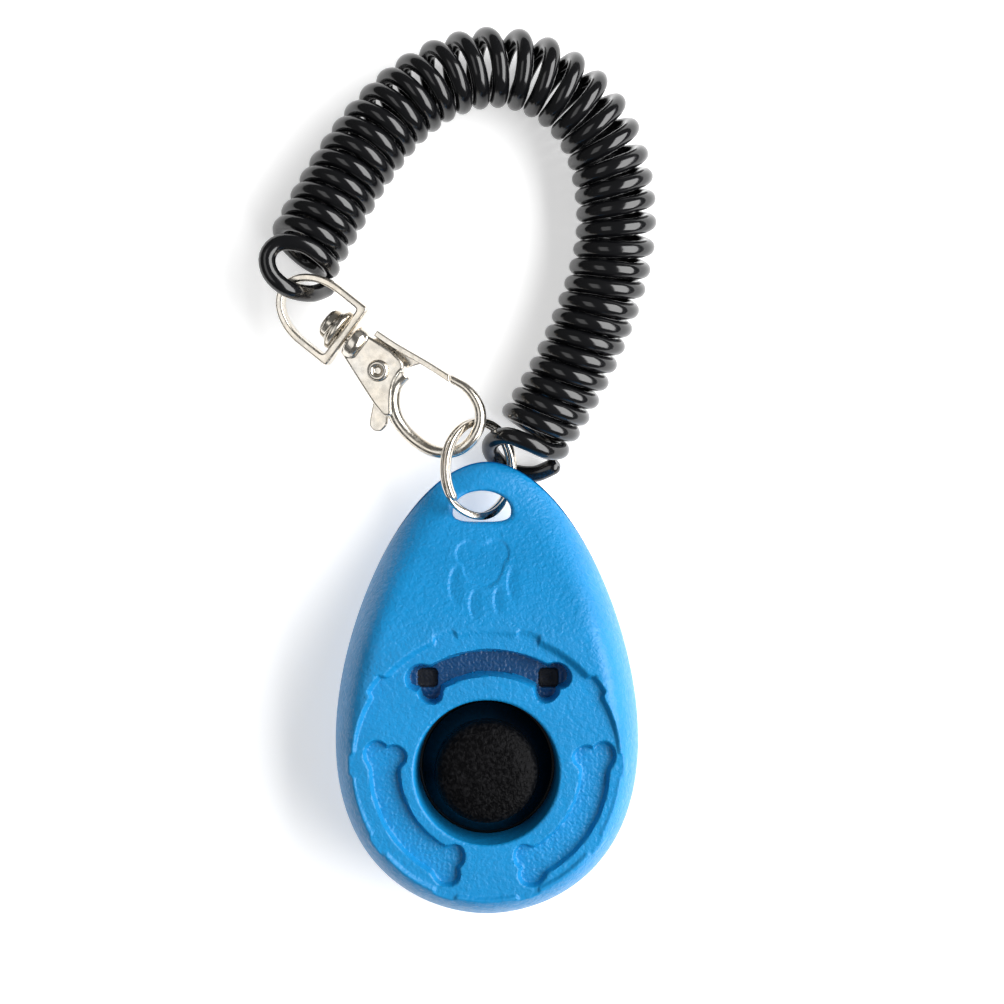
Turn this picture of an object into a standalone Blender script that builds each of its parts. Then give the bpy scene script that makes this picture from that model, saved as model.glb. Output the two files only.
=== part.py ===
"""Clicker trainer: an egg-shaped push-button clicker on a coiled wrist strap with a snap hook.

It lies on its flat back with the button up. +Y runs to the narrow end with the strap hole, +Z out
of the face with the button. The origin is the middle of the egg, in the plane of the flat back.
Lengths below are in millimetres; MM turns them into metres.
"""
import math

import bmesh
import bpy
from mathutils import Matrix, Vector

MM = 0.001
GAP = 0.3                 # between pieces that touch

# Egg housing
EGG_LENGTH = 60.0
EGG_HALF_WIDTH = 19.63    # at the middle of the length
EGG_SQUARENESS = 1.047
EGG_TAPER = 0.238
EGG_TIP_ROUND = 0.0377
PARTING_Z = 6.6           # height of the joint between the shells
CROWN_Z = 17.2            # top of the dome
TIP_DROP = 8.8            # how far the dome falls towards the strap hole
TIP_START_Y = 4.0
TIP_RUN = 24.0
BACK_RISE = 5.1           # how far the back rises under the strap hole
BACK_START_Y = 10.0
BACK_RUN = 14.0
EDGE_ROUND = 5.0          # width of the rounded edge, seen from above
WALL = 1.6
FLOOR = 1.6
SPOKES = 60               # points round each ring of the shells

# Button well and the flat round it
WELL_Y = -10.2
WELL_RADIUS = 9.5
WELL_WALL = 1.4
WELL_FOOT_Z = 8.6
PLATEAU_Z = 16.2
PLATEAU_RADIUS = 17.8
PLATEAU_BUMPS = 10
BUMP_HEIGHT = 0.65
CEILING_Z = 13.2
CAVITY_CENTRE_Y = -4.45
CAVITY_HALF_LENGTH = 23.95
CAVITY_HALF_WIDTH = 17.9

# Bone-shaped recesses
BONE_RADIUS = 13.6        # of the bone's centre line, about the well
BONE_HALF_WIDTH = 1.75
BONE_LOBE_RADIUS = 1.6
BONE_LOBE_OFFSET = 1.05
BONE_LOBE_ANGLE = 36.5
BONE_DEPTHS = ((90.0, 2.0), (210.0, 1.0), (330.0, 1.0))
PORT_SIZE = 1.9

# Strap hole
HOLE_Y = 23.4
HOLE_HALF_WIDTH = 3.95
HOLE_RISE = 2.7
HOLE_FALL = 1.45

# Button and click mechanism
BUTTON_RADIUS = 6.6
BUTTON_TOP_Z = 17.3
BUTTON_FLANGE_RADIUS = 10.3
PLUNGER_RADIUS = 2.0
PLATE_Z = 5.2             # underside of the snap plate
PLATE_THICKNESS = 0.4
PLATE_WIDTH = 9.0
PLATE_ROOT_Y = -25.7
PLATE_TIP_Y = -3.0
CLAMP_SCREW_X = 2.6
CLAMP_Y = -24.2           # line of the clamp screws, about which the plate bends
CLAMP_HALF_LENGTH = 1.3
CLAMP_THICKNESS = 0.8

# Housing screws: x, y
SCREW_PLACES = {"tip": (0.0, 11.5), "left": (-11.2, -20.0), "right": (11.2, -20.0)}
SCREW_RADIUS = 1.0
SCREW_HEAD_RADIUS = 1.9
BOSS_RADIUS = 2.1

# Split ring
RING_RADIUS = 6.3         # of the section's middle
RING_HALF_RADIAL = 0.55
RING_HALF_AXIAL = 0.75
RING_CENTRE = (-1.05, 29.0, 7.9)
RING_TILT = 46.0          # about Y, left side up

# Coil strap
WIRE_RADIUS = 1.15
COIL_RADIUS = 4.3         # of the wire's middle, about the coil's centre line
COIL_Z = 5.65
COIL_PITCH = 2.47         # along a straight stretch
COIL_TOUCH = 2.36         # least spacing, on the inner side of a bend
COIL_STEPS = 8            # points in each turn
COIL_LEAN = (1.2, 0.3)    # of the turns' tops along the line, at the eye and at the ring
COIL_YAW = (-0.15, 0.3)   # of the turns' right side along the line, likewise
COIL_LINE = (
    (-24.9, 57.6), (-21.3, 64.2), (-17.2, 70.9), (-12.3, 76.9), (-6.4, 81.2), (0.3, 83.0),
    (6.4, 82.0), (11.7, 78.6), (15.3, 73.5), (17.0, 67.3), (17.3, 60.7), (16.0, 54.1),
    (13.7, 47.7), (10.9, 41.6), (7.6, 35.9), (5.6, 32.8),
)
EYE_LOOP = (
    (-21.2, 54.1, 2.2), (-22.3, 53.2, 3.7), (-23.9, 52.5, 6.7), (-26.5, 52.9, 9.6),
    (-28.6, 54.8, 10.3), (-29.0, 57.2, 10.3), (-27.4, 58.9, 10.2),
)
RING_LOOP = (
    (8.0, 31.4, 8.7), (5.4, 32.5, 9.95), (2.7, 33.4, 9.4), (0.7, 32.8, 6.8), (0.6, 31.2, 3.6),
    (3.0, 28.9, 1.4), (6.1, 28.4, 1.4), (8.3, 29.1, 1.8), (9.6, 29.9, 2.3),
)

# Snap hook, in its own frame: +X from the swivel to the bow, +Z up
HOOK_ORIGIN = (-18.4, 46.5, 8.0)
HOOK_HEADING = -38.5
HOOK_PITCH = -6.0
HOOK_ROLL = 9.0
BODY_HALF_THICKNESS = 1.2
BODY_OUTLINE = (
    (0.7, 2.2), (8.0, 2.5), (8.6, 1.9), (8.4, 0.6), (8.9, -1.4), (10.6, -3.3), (10.4, -4.9),
    (8.2, -4.7), (1.4, -2.5), (0.7, -2.3),
)
BOW_LINE = (
    (8.6, -3.3), (11.8, -4.1), (15.6, -4.65), (18.8, -4.1), (20.9, -2.2), (21.3, 0.7),
    (20.2, 3.2), (18.0, 4.65), (15.2, 4.75),
)
BOW_RADIUS = 0.72
BOW_HEIGHT_SCALE = 1.18
RIVET_PLACE = (6.06, -0.87)
RIVET_RADIUS = 0.8
LEVER_Z = (-2.4, -1.5)
GATE_LINE = ((2.7, 3.85), (6.0, 4.0), (10.5, 4.6), (14.4, 4.85))
NOSE_SLANT = 0.53         # the nose's end is cut along the gate's path
NOSE_CUT = (15.1, 6.2)
GATE_HALF_WIDTH = 0.42
LEVER_OUTLINE = (
    (2.7, 3.7), (2.9, 1.6), (4.0, -0.2), (4.6, -2.2), (7.4, -4.6), (8.6, -7.2), (9.5, -8.0),
    (10.7, -7.6), (10.9, -6.3), (9.3, -3.6), (8.0, -0.6), (8.6, 1.6), (10.2, 4.0), (6.0, 3.9),
)
EYE_HALF_WIDTH = 4.3
EYE_STRAIGHT = 4.8
EYE_BOW = 6.2             # length of the eye's rounded end
EYE_STRIP = 1.0
EYE_PLATE = 1.2
EYE_HALF_HEIGHT = 1.15
STUD_RADIUS = 0.8

PARTS = "clicker_trainer"
CUTTERS = "cutters"


# ---------------------------------------------------------------- scene and materials

def clear_scene():
    for obj in list(bpy.data.objects):
        bpy.data.objects.remove(obj, do_unlink=True)


def collection(name):
    """The collection of that name, made and linked on first use."""
    found = bpy.data.collections.get(name)
    if found is None:
        found = bpy.data.collections.new(name)
        bpy.context.scene.collection.children.link(found)
    return found


def material(name, colour, roughness, metallic=0.0):
    made = bpy.data.materials.new(name)
    made.use_nodes = True
    shader = made.node_tree.nodes["Principled BSDF"]
    shader.inputs["Base Color"].default_value = (*colour, 1.0)
    shader.inputs["Roughness"].default_value = roughness
    shader.inputs["Metallic"].default_value = metallic
    return made


def add_object(name, data, home=PARTS):
    obj = bpy.data.objects.new(name, data)
    collection(home).objects.link(obj)
    if home == CUTTERS:
        obj.hide_render = True
        obj.display_type = "WIRE"
    return obj


def dress(obj, finish):
    obj.data.materials.clear()
    obj.data.materials.append(finish)
    return obj


# ---------------------------------------------------------------- modelling helpers

def mesh_object(name, build, home=PARTS):
    """An object whose mesh is filled by build(bm); build works in millimetres."""
    bm = bmesh.new()
    build(bm)
    bmesh.ops.scale(bm, vec=(MM, MM, MM), verts=bm.verts)
    mesh = bpy.data.meshes.new(name)
    bm.to_mesh(mesh)
    bm.free()
    return add_object(name, mesh, home)


def loft(bm, rings, wrap):
    """Skin equal rings of points. With wrap the last ring joins the first, else both are capped."""
    rows = [[bm.verts.new(point) for point in ring] for ring in rings]
    pairs = list(zip(rows, rows[1:]))
    if wrap:
        pairs.append((rows[-1], rows[0]))
    count = len(rings[0])
    for low, high in pairs:
        for i in range(count):
            j = (i + 1) % count
            bm.faces.new((low[i], low[j], high[j], high[i]))
    if not wrap:
        bm.faces.new(rows[0][::-1])
        bm.faces.new(rows[-1])
    bmesh.ops.recalc_face_normals(bm, faces=bm.faces)


def prism(bm, outline, low, high):
    """Extrude a plan outline between two heights."""
    base = [bm.verts.new((x, y, low)) for x, y in outline]
    top = [bm.verts.new((x, y, high)) for x, y in outline]
    count = len(outline)
    for i in range(count):
        j = (i + 1) % count
        bm.faces.new((base[i], base[j], top[j], top[i]))
    bm.faces.new(base[::-1])
    bm.faces.new(top)
    bmesh.ops.recalc_face_normals(bm, faces=bm.faces)


def cylinder(bm, radius, low, high, x=0.0, y=0.0, sides=24):
    centre = Matrix.Translation((x, y, (low + high) / 2))
    bmesh.ops.create_cone(bm, cap_ends=True, segments=sides, radius1=radius, radius2=radius,
                          depth=high - low, matrix=centre)


def turned(name, profile, steps, home=PARTS):
    """Turn a profile of (radius, height), from the top down the outer side, about its own Z."""
    mesh = bpy.data.meshes.new(name)
    edges = [(i, i + 1) for i in range(len(profile) - 1)]
    if profile[0][0] > 0:
        edges.append((len(profile) - 1, 0))
    mesh.from_pydata([(r * MM, 0, z * MM) for r, z in profile], edges, [])
    obj = add_object(name, mesh, home)
    screw = obj.modifiers.new("turn", "SCREW")
    screw.steps = steps
    screw.render_steps = steps
    screw.use_merge_vertices = True
    screw.merge_threshold = 1e-6
    return obj


def tube(name, points, radius, sides_resolution=2, cyclic=False):
    """A round wire through points in millimetres."""
    curve = bpy.data.curves.new(name, "CURVE")
    curve.dimensions = "3D"
    spline = curve.splines.new("POLY")
    spline.points.add(len(points) - 1)
    for slot, point in zip(spline.points, points):
        slot.co = (*(Vector(point) * MM), 1.0)
    spline.use_cyclic_u = cyclic
    curve.bevel_depth = radius * MM
    curve.bevel_resolution = sides_resolution
    curve.use_fill_caps = not cyclic
    return add_object(name, curve)


def as_mesh(obj):
    """Replace a curve object by its welded mesh."""
    bpy.context.view_layer.update()
    graph = bpy.context.evaluated_depsgraph_get()
    mesh = bpy.data.meshes.new_from_object(obj.evaluated_get(graph))
    bm = bmesh.new()
    bm.from_mesh(mesh)
    bmesh.ops.remove_doubles(bm, verts=bm.verts, dist=1e-6)
    bmesh.ops.recalc_face_normals(bm, faces=bm.faces)
    bm.to_mesh(mesh)
    bm.free()
    name, matrix, home = obj.name, obj.matrix_world.copy(), obj.users_collection[0].name
    bpy.data.objects.remove(obj, do_unlink=True)
    made = add_object(name, mesh, home)
    made.matrix_world = matrix
    return made


def combine(obj, other, operation):
    """Add a Boolean; the other object becomes a hidden cutter."""
    if other.name not in collection(CUTTERS).objects:
        for home in list(other.users_collection):
            home.objects.unlink(other)
        collection(CUTTERS).objects.link(other)
    other.hide_render = True
    other.display_type = "WIRE"
    modifier = obj.modifiers.new(operation.lower(), "BOOLEAN")
    modifier.object = other
    modifier.operation = operation
    modifier.solver = "EXACT"


def smooth(obj, angle=35.0):
    obj.data.shade_smooth()
    obj.data.set_sharp_from_angle(angle=math.radians(angle))
    return obj


def spline_through(points, steps):
    """Catmull-Rom points through the given ones, with steps per span."""
    ends = [Vector(p) for p in points]
    ends = [ends[0] * 2 - ends[1]] + ends + [ends[-1] * 2 - ends[-2]]
    line = []
    for a, b, c, d in zip(ends, ends[1:], ends[2:], ends[3:]):
        for step in range(steps):
            t = step / steps
            line.append(0.5 * (2 * b + (c - a) * t + (2 * a - 5 * b + 4 * c - d) * t * t
                               + (3 * b - a - 3 * c + d) * t ** 3))
    line.append(ends[-2])
    return line


def smooth_step(t):
    t = min(max(t, 0.0), 1.0)
    return t * t * (3 - 2 * t)


# ---------------------------------------------------------------- the egg's surfaces

def half_width(y, centre=0.0, half_length=EGG_LENGTH / 2, width=EGG_HALF_WIDTH):
    """Half the egg's width at y; the blunt end is at -Y."""
    c = min(max((y - centre) / half_length, -1.0), 1.0)
    swell = math.exp(-EGG_TAPER * c + EGG_TIP_ROUND * c * c)
    return width * (1 - c * c) ** (EGG_SQUARENESS / 2) * swell


def reach(angle, **egg):
    """Distance from the well's axis to an egg outline, in a direction in radians."""
    near, far = 0.0, EGG_LENGTH
    for _ in range(40):
        middle = (near + far) / 2
        x = middle * math.cos(angle)
        y = WELL_Y + middle * math.sin(angle)
        top = egg.get("centre", 0.0) + egg.get("half_length", EGG_LENGTH / 2)
        bottom = egg.get("centre", 0.0) - egg.get("half_length", EGG_LENGTH / 2)
        if bottom < y < top and abs(x) < half_width(y, **egg):
            near = middle
        else:
            far = middle
    return near


ANGLES = [2 * math.pi * i / SPOKES for i in range(SPOKES)]
RIM = [reach(angle) for angle in ANGLES]
CAVITY = [reach(angle, centre=CAVITY_CENTRE_Y, half_length=CAVITY_HALF_LENGTH,
                width=CAVITY_HALF_WIDTH) for angle in ANGLES]


def spoke_point(angle, radius, z):
    return (radius * math.cos(angle), WELL_Y + radius * math.sin(angle), z)


RIM_POINTS = [Vector(spoke_point(a, r, 0.0)) for a, r in zip(ANGLES, RIM)]


def edge_distance(x, y):
    """Distance in plan from a point inside the egg to its outline."""
    here = Vector((x, y, 0.0))
    nearest = EGG_LENGTH
    for start, end in zip(RIM_POINTS, RIM_POINTS[1:] + RIM_POINTS[:1]):
        along = end - start
        t = min(max((here - start).dot(along) / along.length_squared, 0.0), 1.0)
        nearest = min(nearest, (here - start - along * t).length)
    return nearest


def edge_fullness(x, y):
    """0 at the outline, 1 where the rounded edge ends."""
    inward = min(edge_distance(x, y) / EDGE_ROUND, 1.0)
    return math.sqrt(max(1 - (1 - inward) ** 2.5, 0.0))


def crown_height(y):
    return CROWN_Z - TIP_DROP * smooth_step((y - TIP_START_Y) / TIP_RUN)


def back_level(y):
    return BACK_RISE * smooth_step((y - BACK_START_Y) / BACK_RUN)


def dome_height(x, y):
    return PARTING_Z + (crown_height(y) - PARTING_Z) * edge_fullness(x, y)


def back_height(x, y):
    return PARTING_Z - (PARTING_Z - back_level(y)) * edge_fullness(x, y)


def plateau_radius(index):
    """Edge of the flat at one spoke: a circle with evenly spaced bumps, inside the outline."""
    period = SPOKES // PLATEAU_BUMPS
    offset = (index + period // 2) % period - period // 2
    bump = BUMP_HEIGHT if abs(offset) <= 1 else 0.0
    return min(PLATEAU_RADIUS + bump, RIM[index] - 0.45)


def surface_ring(radii, height):
    ring = []
    for angle, radius in zip(ANGLES, radii):
        x, y, _ = spoke_point(angle, radius, 0.0)
        ring.append((x, y, height(x, y)))
    return ring


def flat_ring(radii, z):
    return [spoke_point(angle, radius, z) for angle, radius in zip(ANGLES, radii)]


def between(inner, outer, share):
    return [a + (b - a) * share for a, b in zip(inner, outer)]


# ---------------------------------------------------------------- housing

def front_rings():
    """Rings round the closed front shell, from the foot of the well over the dome and back."""
    well = [WELL_RADIUS] * SPOKES
    plateau = [plateau_radius(i) for i in range(SPOKES)]
    foot = [radius + 0.15 for radius in plateau]
    bottom_z = PARTING_Z + GAP / 2
    rings = [
        flat_ring(well, WELL_FOOT_Z),
        flat_ring(well, PLATEAU_Z - 0.5),
        flat_ring([WELL_RADIUS + 0.4] * SPOKES, PLATEAU_Z),
        flat_ring([radius - 0.15 for radius in plateau], PLATEAU_Z),
        surface_ring(foot, dome_height),
    ]
    for share in (0.12, 0.3, 0.5, 0.68, 0.82, 0.92, 0.975):
        rings.append(surface_ring(between(foot, RIM, share), dome_height))
    rings.append(flat_ring(RIM, PARTING_Z + 0.9))
    rings.append(flat_ring(RIM, bottom_z))
    rings.append(flat_ring(CAVITY, bottom_z))

    def ceiling(x, y):
        return min(CEILING_Z, crown_height(y) - WALL - 0.4)

    tube_radius = [WELL_RADIUS + WELL_WALL] * SPOKES
    rings.append(surface_ring(CAVITY, lambda x, y: min(10.5, ceiling(x, y) - 1.2)))
    rings.append(surface_ring(between(tube_radius, CAVITY, 0.8), ceiling))
    rings.append(surface_ring(between(tube_radius, CAVITY, 0.4), ceiling))
    rings.append(flat_ring(tube_radius, CEILING_Z))
    rings.append(flat_ring(tube_radius, WELL_FOOT_Z))
    return rings


def hole_outline():
    """D-shaped strap hole: a full arch towards the tip and a flatter lower side."""
    outline = []
    for i in range(28):
        angle = 2 * math.pi * i / 28
        rise = math.sin(angle)
        y = HOLE_RISE * rise if rise > 0 else -HOLE_FALL * abs(rise) ** 0.6
        outline.append((HOLE_HALF_WIDTH * math.cos(angle), HOLE_Y + y))
    return outline


def hole_cutter(name):
    return mesh_object(name, lambda bm: prism(bm, hole_outline(), -1.0, CROWN_Z + 1), CUTTERS)


def bone_outline(turn):
    """One bone recess, bent round the well; turn is the angle of its middle, in degrees."""
    lobe_start = math.asin((BONE_HALF_WIDTH - BONE_LOBE_OFFSET) / BONE_LOBE_RADIUS)
    notch = math.asin(BONE_LOBE_OFFSET / BONE_LOBE_RADIUS)
    end = math.radians(BONE_LOBE_ANGLE) * BONE_RADIUS
    lobe = []
    for i in range(8):
        angle = math.pi - lobe_start - (math.pi - lobe_start + notch) * i / 7
        lobe.append((end + BONE_LOBE_RADIUS * math.cos(angle),
                     BONE_LOBE_OFFSET + BONE_LOBE_RADIUS * math.sin(angle)))
    tip = lobe + [(along, -across) for along, across in reversed(lobe[:-1])]
    shaft = lobe[0][0] * 0.98
    lower = [(shaft * (1 - i / 3), -BONE_HALF_WIDTH) for i in range(7)]
    other_tip = [(-along, -across) for along, across in tip]
    upper = [(-along, -across) for along, across in lower]
    outline = []
    for along, across in tip + lower + other_tip + upper:
        angle = math.radians(turn) - along / BONE_RADIUS
        radius = BONE_RADIUS + across
        outline.append((radius * math.cos(angle), WELL_Y + radius * math.sin(angle)))
    return outline


def bones_cutter():
    def build(bm):
        for turn, depth in BONE_DEPTHS:
            prism(bm, bone_outline(turn), PLATEAU_Z - depth, CROWN_Z + 1)
    return mesh_object("bone_recesses", build, CUTTERS)


def ports_cutter():
    """Two square sound ports in the end lobes of the deep bone."""
    def build(bm):
        half = PORT_SIZE / 2
        square = [(-half, -half), (half, -half), (half, half), (-half, half)]
        for side in (-1, 1):
            angle = math.radians(BONE_DEPTHS[0][0] + side * BONE_LOBE_ANGLE)
            x, y, _ = spoke_point(angle, BONE_RADIUS, 0.0)
            prism(bm, [(x + u, y + v) for u, v in square], CEILING_Z - 1, PLATEAU_Z - 1)
    return mesh_object("sound_ports", build, CUTTERS)


def screw_bosses():
    """Posts that reach down from the front shell's ceiling to the back's floor."""
    def build(bm):
        for x, y in SCREW_PLACES.values():
            top = min(CEILING_Z, crown_height(y) - WALL) + 0.6
            cylinder(bm, BOSS_RADIUS, FLOOR + back_level(y) + 2 * GAP, top, x, y)
    return mesh_object("screw_bosses", build, CUTTERS)


def pilot_holes():
    def build(bm):
        for x, y in SCREW_PLACES.values():
            cylinder(bm, SCREW_RADIUS + 0.15, -1.0, 10.0, x, y, 16)
    return mesh_object("pilot_holes", build, CUTTERS)


def build_front_shell(finish):
    shell = mesh_object("front_shell", lambda bm: loft(bm, front_rings(), True))
    combine(shell, screw_bosses(), "UNION")
    combine(shell, pilot_holes(), "DIFFERENCE")
    combine(shell, hole_cutter("front_strap_hole"), "DIFFERENCE")
    combine(shell, bones_cutter(), "DIFFERENCE")
    combine(shell, ports_cutter(), "DIFFERENCE")
    return dress(smooth(shell), finish)


def back_rings():
    """Rings of the closed back shell, from the middle of its underside round to its floor."""
    top_z = PARTING_Z - GAP / 2
    rings = []
    for share in (0.12, 0.45, 0.7, 0.84, 0.92, 0.97):
        rings.append(surface_ring([radius * share for radius in RIM], back_height))
    rings.append(flat_ring(RIM, PARTING_Z - 0.8))
    rings.append(flat_ring(RIM, top_z))
    rings.append(flat_ring(CAVITY, top_z))

    def floor(x, y):
        return FLOOR + back_level(y) + 0.15

    rings.append(surface_ring([radius * 0.97 for radius in CAVITY], lambda x, y: floor(x, y) + 1.8))
    rings.append(surface_ring([radius * 0.86 for radius in CAVITY], floor))
    rings.append(surface_ring([radius * 0.5 for radius in CAVITY], floor))
    rings.append(surface_ring([radius * 0.12 for radius in CAVITY], floor))
    return rings


def clamp_block():
    """Block on the floor that the snap plate's root is screwed to."""
    def build(bm):
        half = PLATE_WIDTH / 2 + 0.8
        back, front = CLAMP_Y - 2 * CLAMP_HALF_LENGTH, CLAMP_Y + CLAMP_HALF_LENGTH
        outline = [(-half, back), (half, back), (half, front), (-half, front)]
        prism(bm, outline, 1.0, PLATE_Z - GAP)
    return mesh_object("clamp_block", build, CUTTERS)


def back_holes():
    """Counterbores from behind, and room for the front shell's bosses above the floor."""
    def build(bm):
        for x, y in SCREW_PLACES.values():
            level = back_level(y)
            cylinder(bm, SCREW_HEAD_RADIUS + GAP, -1.0, 0.8 + level, x, y)
            cylinder(bm, BOSS_RADIUS + GAP, FLOOR + level + 0.2, PARTING_Z + 1, x, y)
    return mesh_object("counterbores", build, CUTTERS)


def back_pilots():
    """Clearance holes for the housing screws and pilot holes in the clamp block."""
    def build(bm):
        for x, y in SCREW_PLACES.values():
            cylinder(bm, SCREW_RADIUS + 0.15, -0.5, 4.0, x, y, 16)
        for side in (-1, 1):
            cylinder(bm, 0.75, 2.6, PLATE_Z + 1, side * CLAMP_SCREW_X, CLAMP_Y, 16)
    return mesh_object("back_pilots", build, CUTTERS)


def build_back_shell(finish):
    shell = mesh_object("back_shell", lambda bm: loft(bm, back_rings(), False))
    combine(shell, clamp_block(), "UNION")
    combine(shell, back_holes(), "DIFFERENCE")
    combine(shell, back_pilots(), "DIFFERENCE")
    combine(shell, hole_cutter("back_strap_hole"), "DIFFERENCE")
    return dress(smooth(shell), finish)


def build_housing_screws(finish):
    """Pan-headed screws, head down in their counterbores."""
    for place, (x, y) in SCREW_PLACES.items():
        seat = 0.8 + back_level(y) - GAP / 2
        profile = [(0.0, 8.0), (SCREW_RADIUS * 0.5, 8.0), (SCREW_RADIUS, 7.2), (SCREW_RADIUS, seat),
                   (SCREW_HEAD_RADIUS, seat), (SCREW_HEAD_RADIUS, seat - 0.35),
                   (SCREW_HEAD_RADIUS * 0.8, seat - 0.6), (0.0, seat - 0.6)]
        screw = turned("housing_screw_" + place, profile, 16)
        screw.location = Vector((x, y, 0.0)) * MM
        dress(screw, finish)


# ---------------------------------------------------------------- button and click mechanism

def build_button(finish):
    """Domed cap with a flared skirt, a flange that the well's foot retains, and a plunger."""
    top = BUTTON_TOP_Z
    flange_top = WELL_FOOT_Z - GAP
    flange_foot = flange_top - 1.1
    outer = [(0.0, top), (2.4, top - 0.1), (4.5, top - 0.45), (5.9, top - 1.0),
             (BUTTON_RADIUS, top - 1.8), (BUTTON_RADIUS + 0.15, 13.4), (7.3, 11.4), (8.7, 9.4),
             (9.1, flange_top), (BUTTON_FLANGE_RADIUS, flange_top)]
    inner = [(BUTTON_FLANGE_RADIUS, flange_foot), (8.3, flange_foot), (6.3, 11.2), (5.8, 15.0),
             (PLUNGER_RADIUS, 15.3), (PLUNGER_RADIUS, 6.3), (PLUNGER_RADIUS - 0.4, 5.9), (0.0, 5.9)]
    button = turned("button", outer + inner, 40)
    button.location = Vector((0.0, WELL_Y, 0.0)) * MM
    return dress(button, finish)


def build_snap_plate(finish):
    """Spring-steel tongue, clamped at its root and pressed near its middle."""
    def build(bm):
        half = PLATE_WIDTH / 2
        outline = [(-half, PLATE_ROOT_Y), (half, PLATE_ROOT_Y), (half, -6.0), (half - 2.0, PLATE_TIP_Y),
                   (2.0 - half, PLATE_TIP_Y), (-half, -6.0)]
        prism(bm, outline, 0.0, PLATE_THICKNESS)
        bmesh.ops.translate(bm, verts=bm.verts, vec=(0.0, -CLAMP_Y, 0.0))
    plate = mesh_object("snap_plate", build)
    plate.location = Vector((0.0, CLAMP_Y, PLATE_Z)) * MM

    def holes(bm):
        for side in (-1, 1):
            cylinder(bm, 0.9, PLATE_Z - 1, PLATE_Z + 1, side * CLAMP_SCREW_X, CLAMP_Y, 16)
    combine(plate, mesh_object("snap_plate_holes", holes, CUTTERS), "DIFFERENCE")
    return dress(plate, finish)


def build_plate_clamp(finish):
    low = PLATE_Z + PLATE_THICKNESS + GAP
    half = PLATE_WIDTH / 2

    def build(bm):
        back, front = CLAMP_Y - CLAMP_HALF_LENGTH, CLAMP_Y + CLAMP_HALF_LENGTH
        outline = [(-half, back), (half, back), (half, front), (-half, front)]
        prism(bm, outline, low, low + CLAMP_THICKNESS)
    clamp = mesh_object("plate_clamp", build)

    def holes(bm):
        for side in (-1, 1):
            cylinder(bm, 0.9, low - 1, low + 2, side * CLAMP_SCREW_X, CLAMP_Y, 16)
    combine(clamp, mesh_object("plate_clamp_holes", holes, CUTTERS), "DIFFERENCE")
    return dress(clamp, finish)


def build_clamp_screws(finish):
    seat = PLATE_Z + PLATE_THICKNESS + CLAMP_THICKNESS + 1.5 * GAP
    for place, side in (("left", -1), ("right", 1)):
        profile = [(0.0, seat + 0.5), (0.9, seat + 0.5), (1.2, seat + 0.2), (1.2, seat), (0.6, seat),
                   (0.6, 3.3), (0.0, 3.0)]
        screw = turned("clamp_screw_" + place, profile, 16)
        screw.location = Vector((side * CLAMP_SCREW_X, CLAMP_Y, 0.0)) * MM
        dress(screw, finish)


# ---------------------------------------------------------------- split ring and coil strap

def build_split_ring(finish):
    """Two turns of wire lying side by side, with the groove between them."""
    radial, axial = RING_HALF_RADIAL, RING_HALF_AXIAL
    outer = RING_RADIUS + radial
    inner = RING_RADIUS - radial
    profile = [(RING_RADIUS, axial), (outer - 0.12, axial * 0.85), (outer, axial * 0.5),
               (outer - 0.2, 0.0), (outer, -axial * 0.5), (outer - 0.12, -axial * 0.85),
               (RING_RADIUS, -axial), (inner + 0.12, -axial * 0.85), (inner, -axial * 0.5),
               (inner + 0.2, 0.0), (inner, axial * 0.5), (inner + 0.12, axial * 0.85)]
    ring = turned("split_ring", profile, 40)
    ring.location = Vector(RING_CENTRE) * MM
    ring.rotation_euler = (0.0, math.radians(RING_TILT), 0.0)
    return dress(ring, finish)


def coil_turns():
    """Points along the wire's coiled part.

    The turns touch on the inner side of each bend, so the pitch at the centre line grows with
    the bend's curvature. The phase is 0 where the wire crosses the top of the coil.
    """
    line = spline_through([(x, y, 0.0) for x, y in COIL_LINE], 120)
    points = []
    phase = 0.0
    step = 2 * math.pi / COIL_STEPS
    due = 0.0
    for index, (before, here, after) in enumerate(zip(line, line[1:], line[2:])):
        first, second = here - before, after - here
        bend = first.normalized().cross(second.normalized()).length / second.length
        pitch = max(COIL_PITCH, COIL_TOUCH / (1 - bend * COIL_RADIUS))
        phase += second.length * 2 * math.pi / pitch
        share = index / len(line)
        lean = COIL_LEAN[0] + (COIL_LEAN[1] - COIL_LEAN[0]) * share
        yaw = COIL_YAW[0] + (COIL_YAW[1] - COIL_YAW[0]) * share
        while phase >= due:
            side = second.normalized().cross(Vector((0.0, 0.0, 1.0)))
            offset = side * math.sin(due) + Vector((0.0, 0.0, 1.0)) * math.cos(due)
            shift = second.normalized() * (lean * math.cos(due) + yaw * math.sin(due))
            points.append(here + Vector((0.0, 0.0, COIL_Z)) + offset * COIL_RADIUS + shift)
            due += step
    while round(due / step) % COIL_STEPS != COIL_STEPS - 1:
        points.pop()
        due -= step
    return points


def build_coil_strap(finish):
    """One plastic wire: the loop round the eye, the coil, and the open last turn round the ring."""
    eye_loop = spline_through(EYE_LOOP, 3)
    ring_loop = spline_through(RING_LOOP, 3)
    strap = tube("coil_strap", eye_loop + coil_turns() + ring_loop, WIRE_RADIUS)
    return dress(strap, finish)


# ---------------------------------------------------------------- snap hook

def build_hook_frame():
    """Empty at the swivel, with +X along the swivel's axis towards the bow."""
    frame = add_object("hook_frame", None)
    frame.location = Vector(HOOK_ORIGIN) * MM
    frame.rotation_euler = tuple(math.radians(a) for a in (HOOK_ROLL, HOOK_PITCH, HOOK_HEADING))
    return frame


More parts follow.
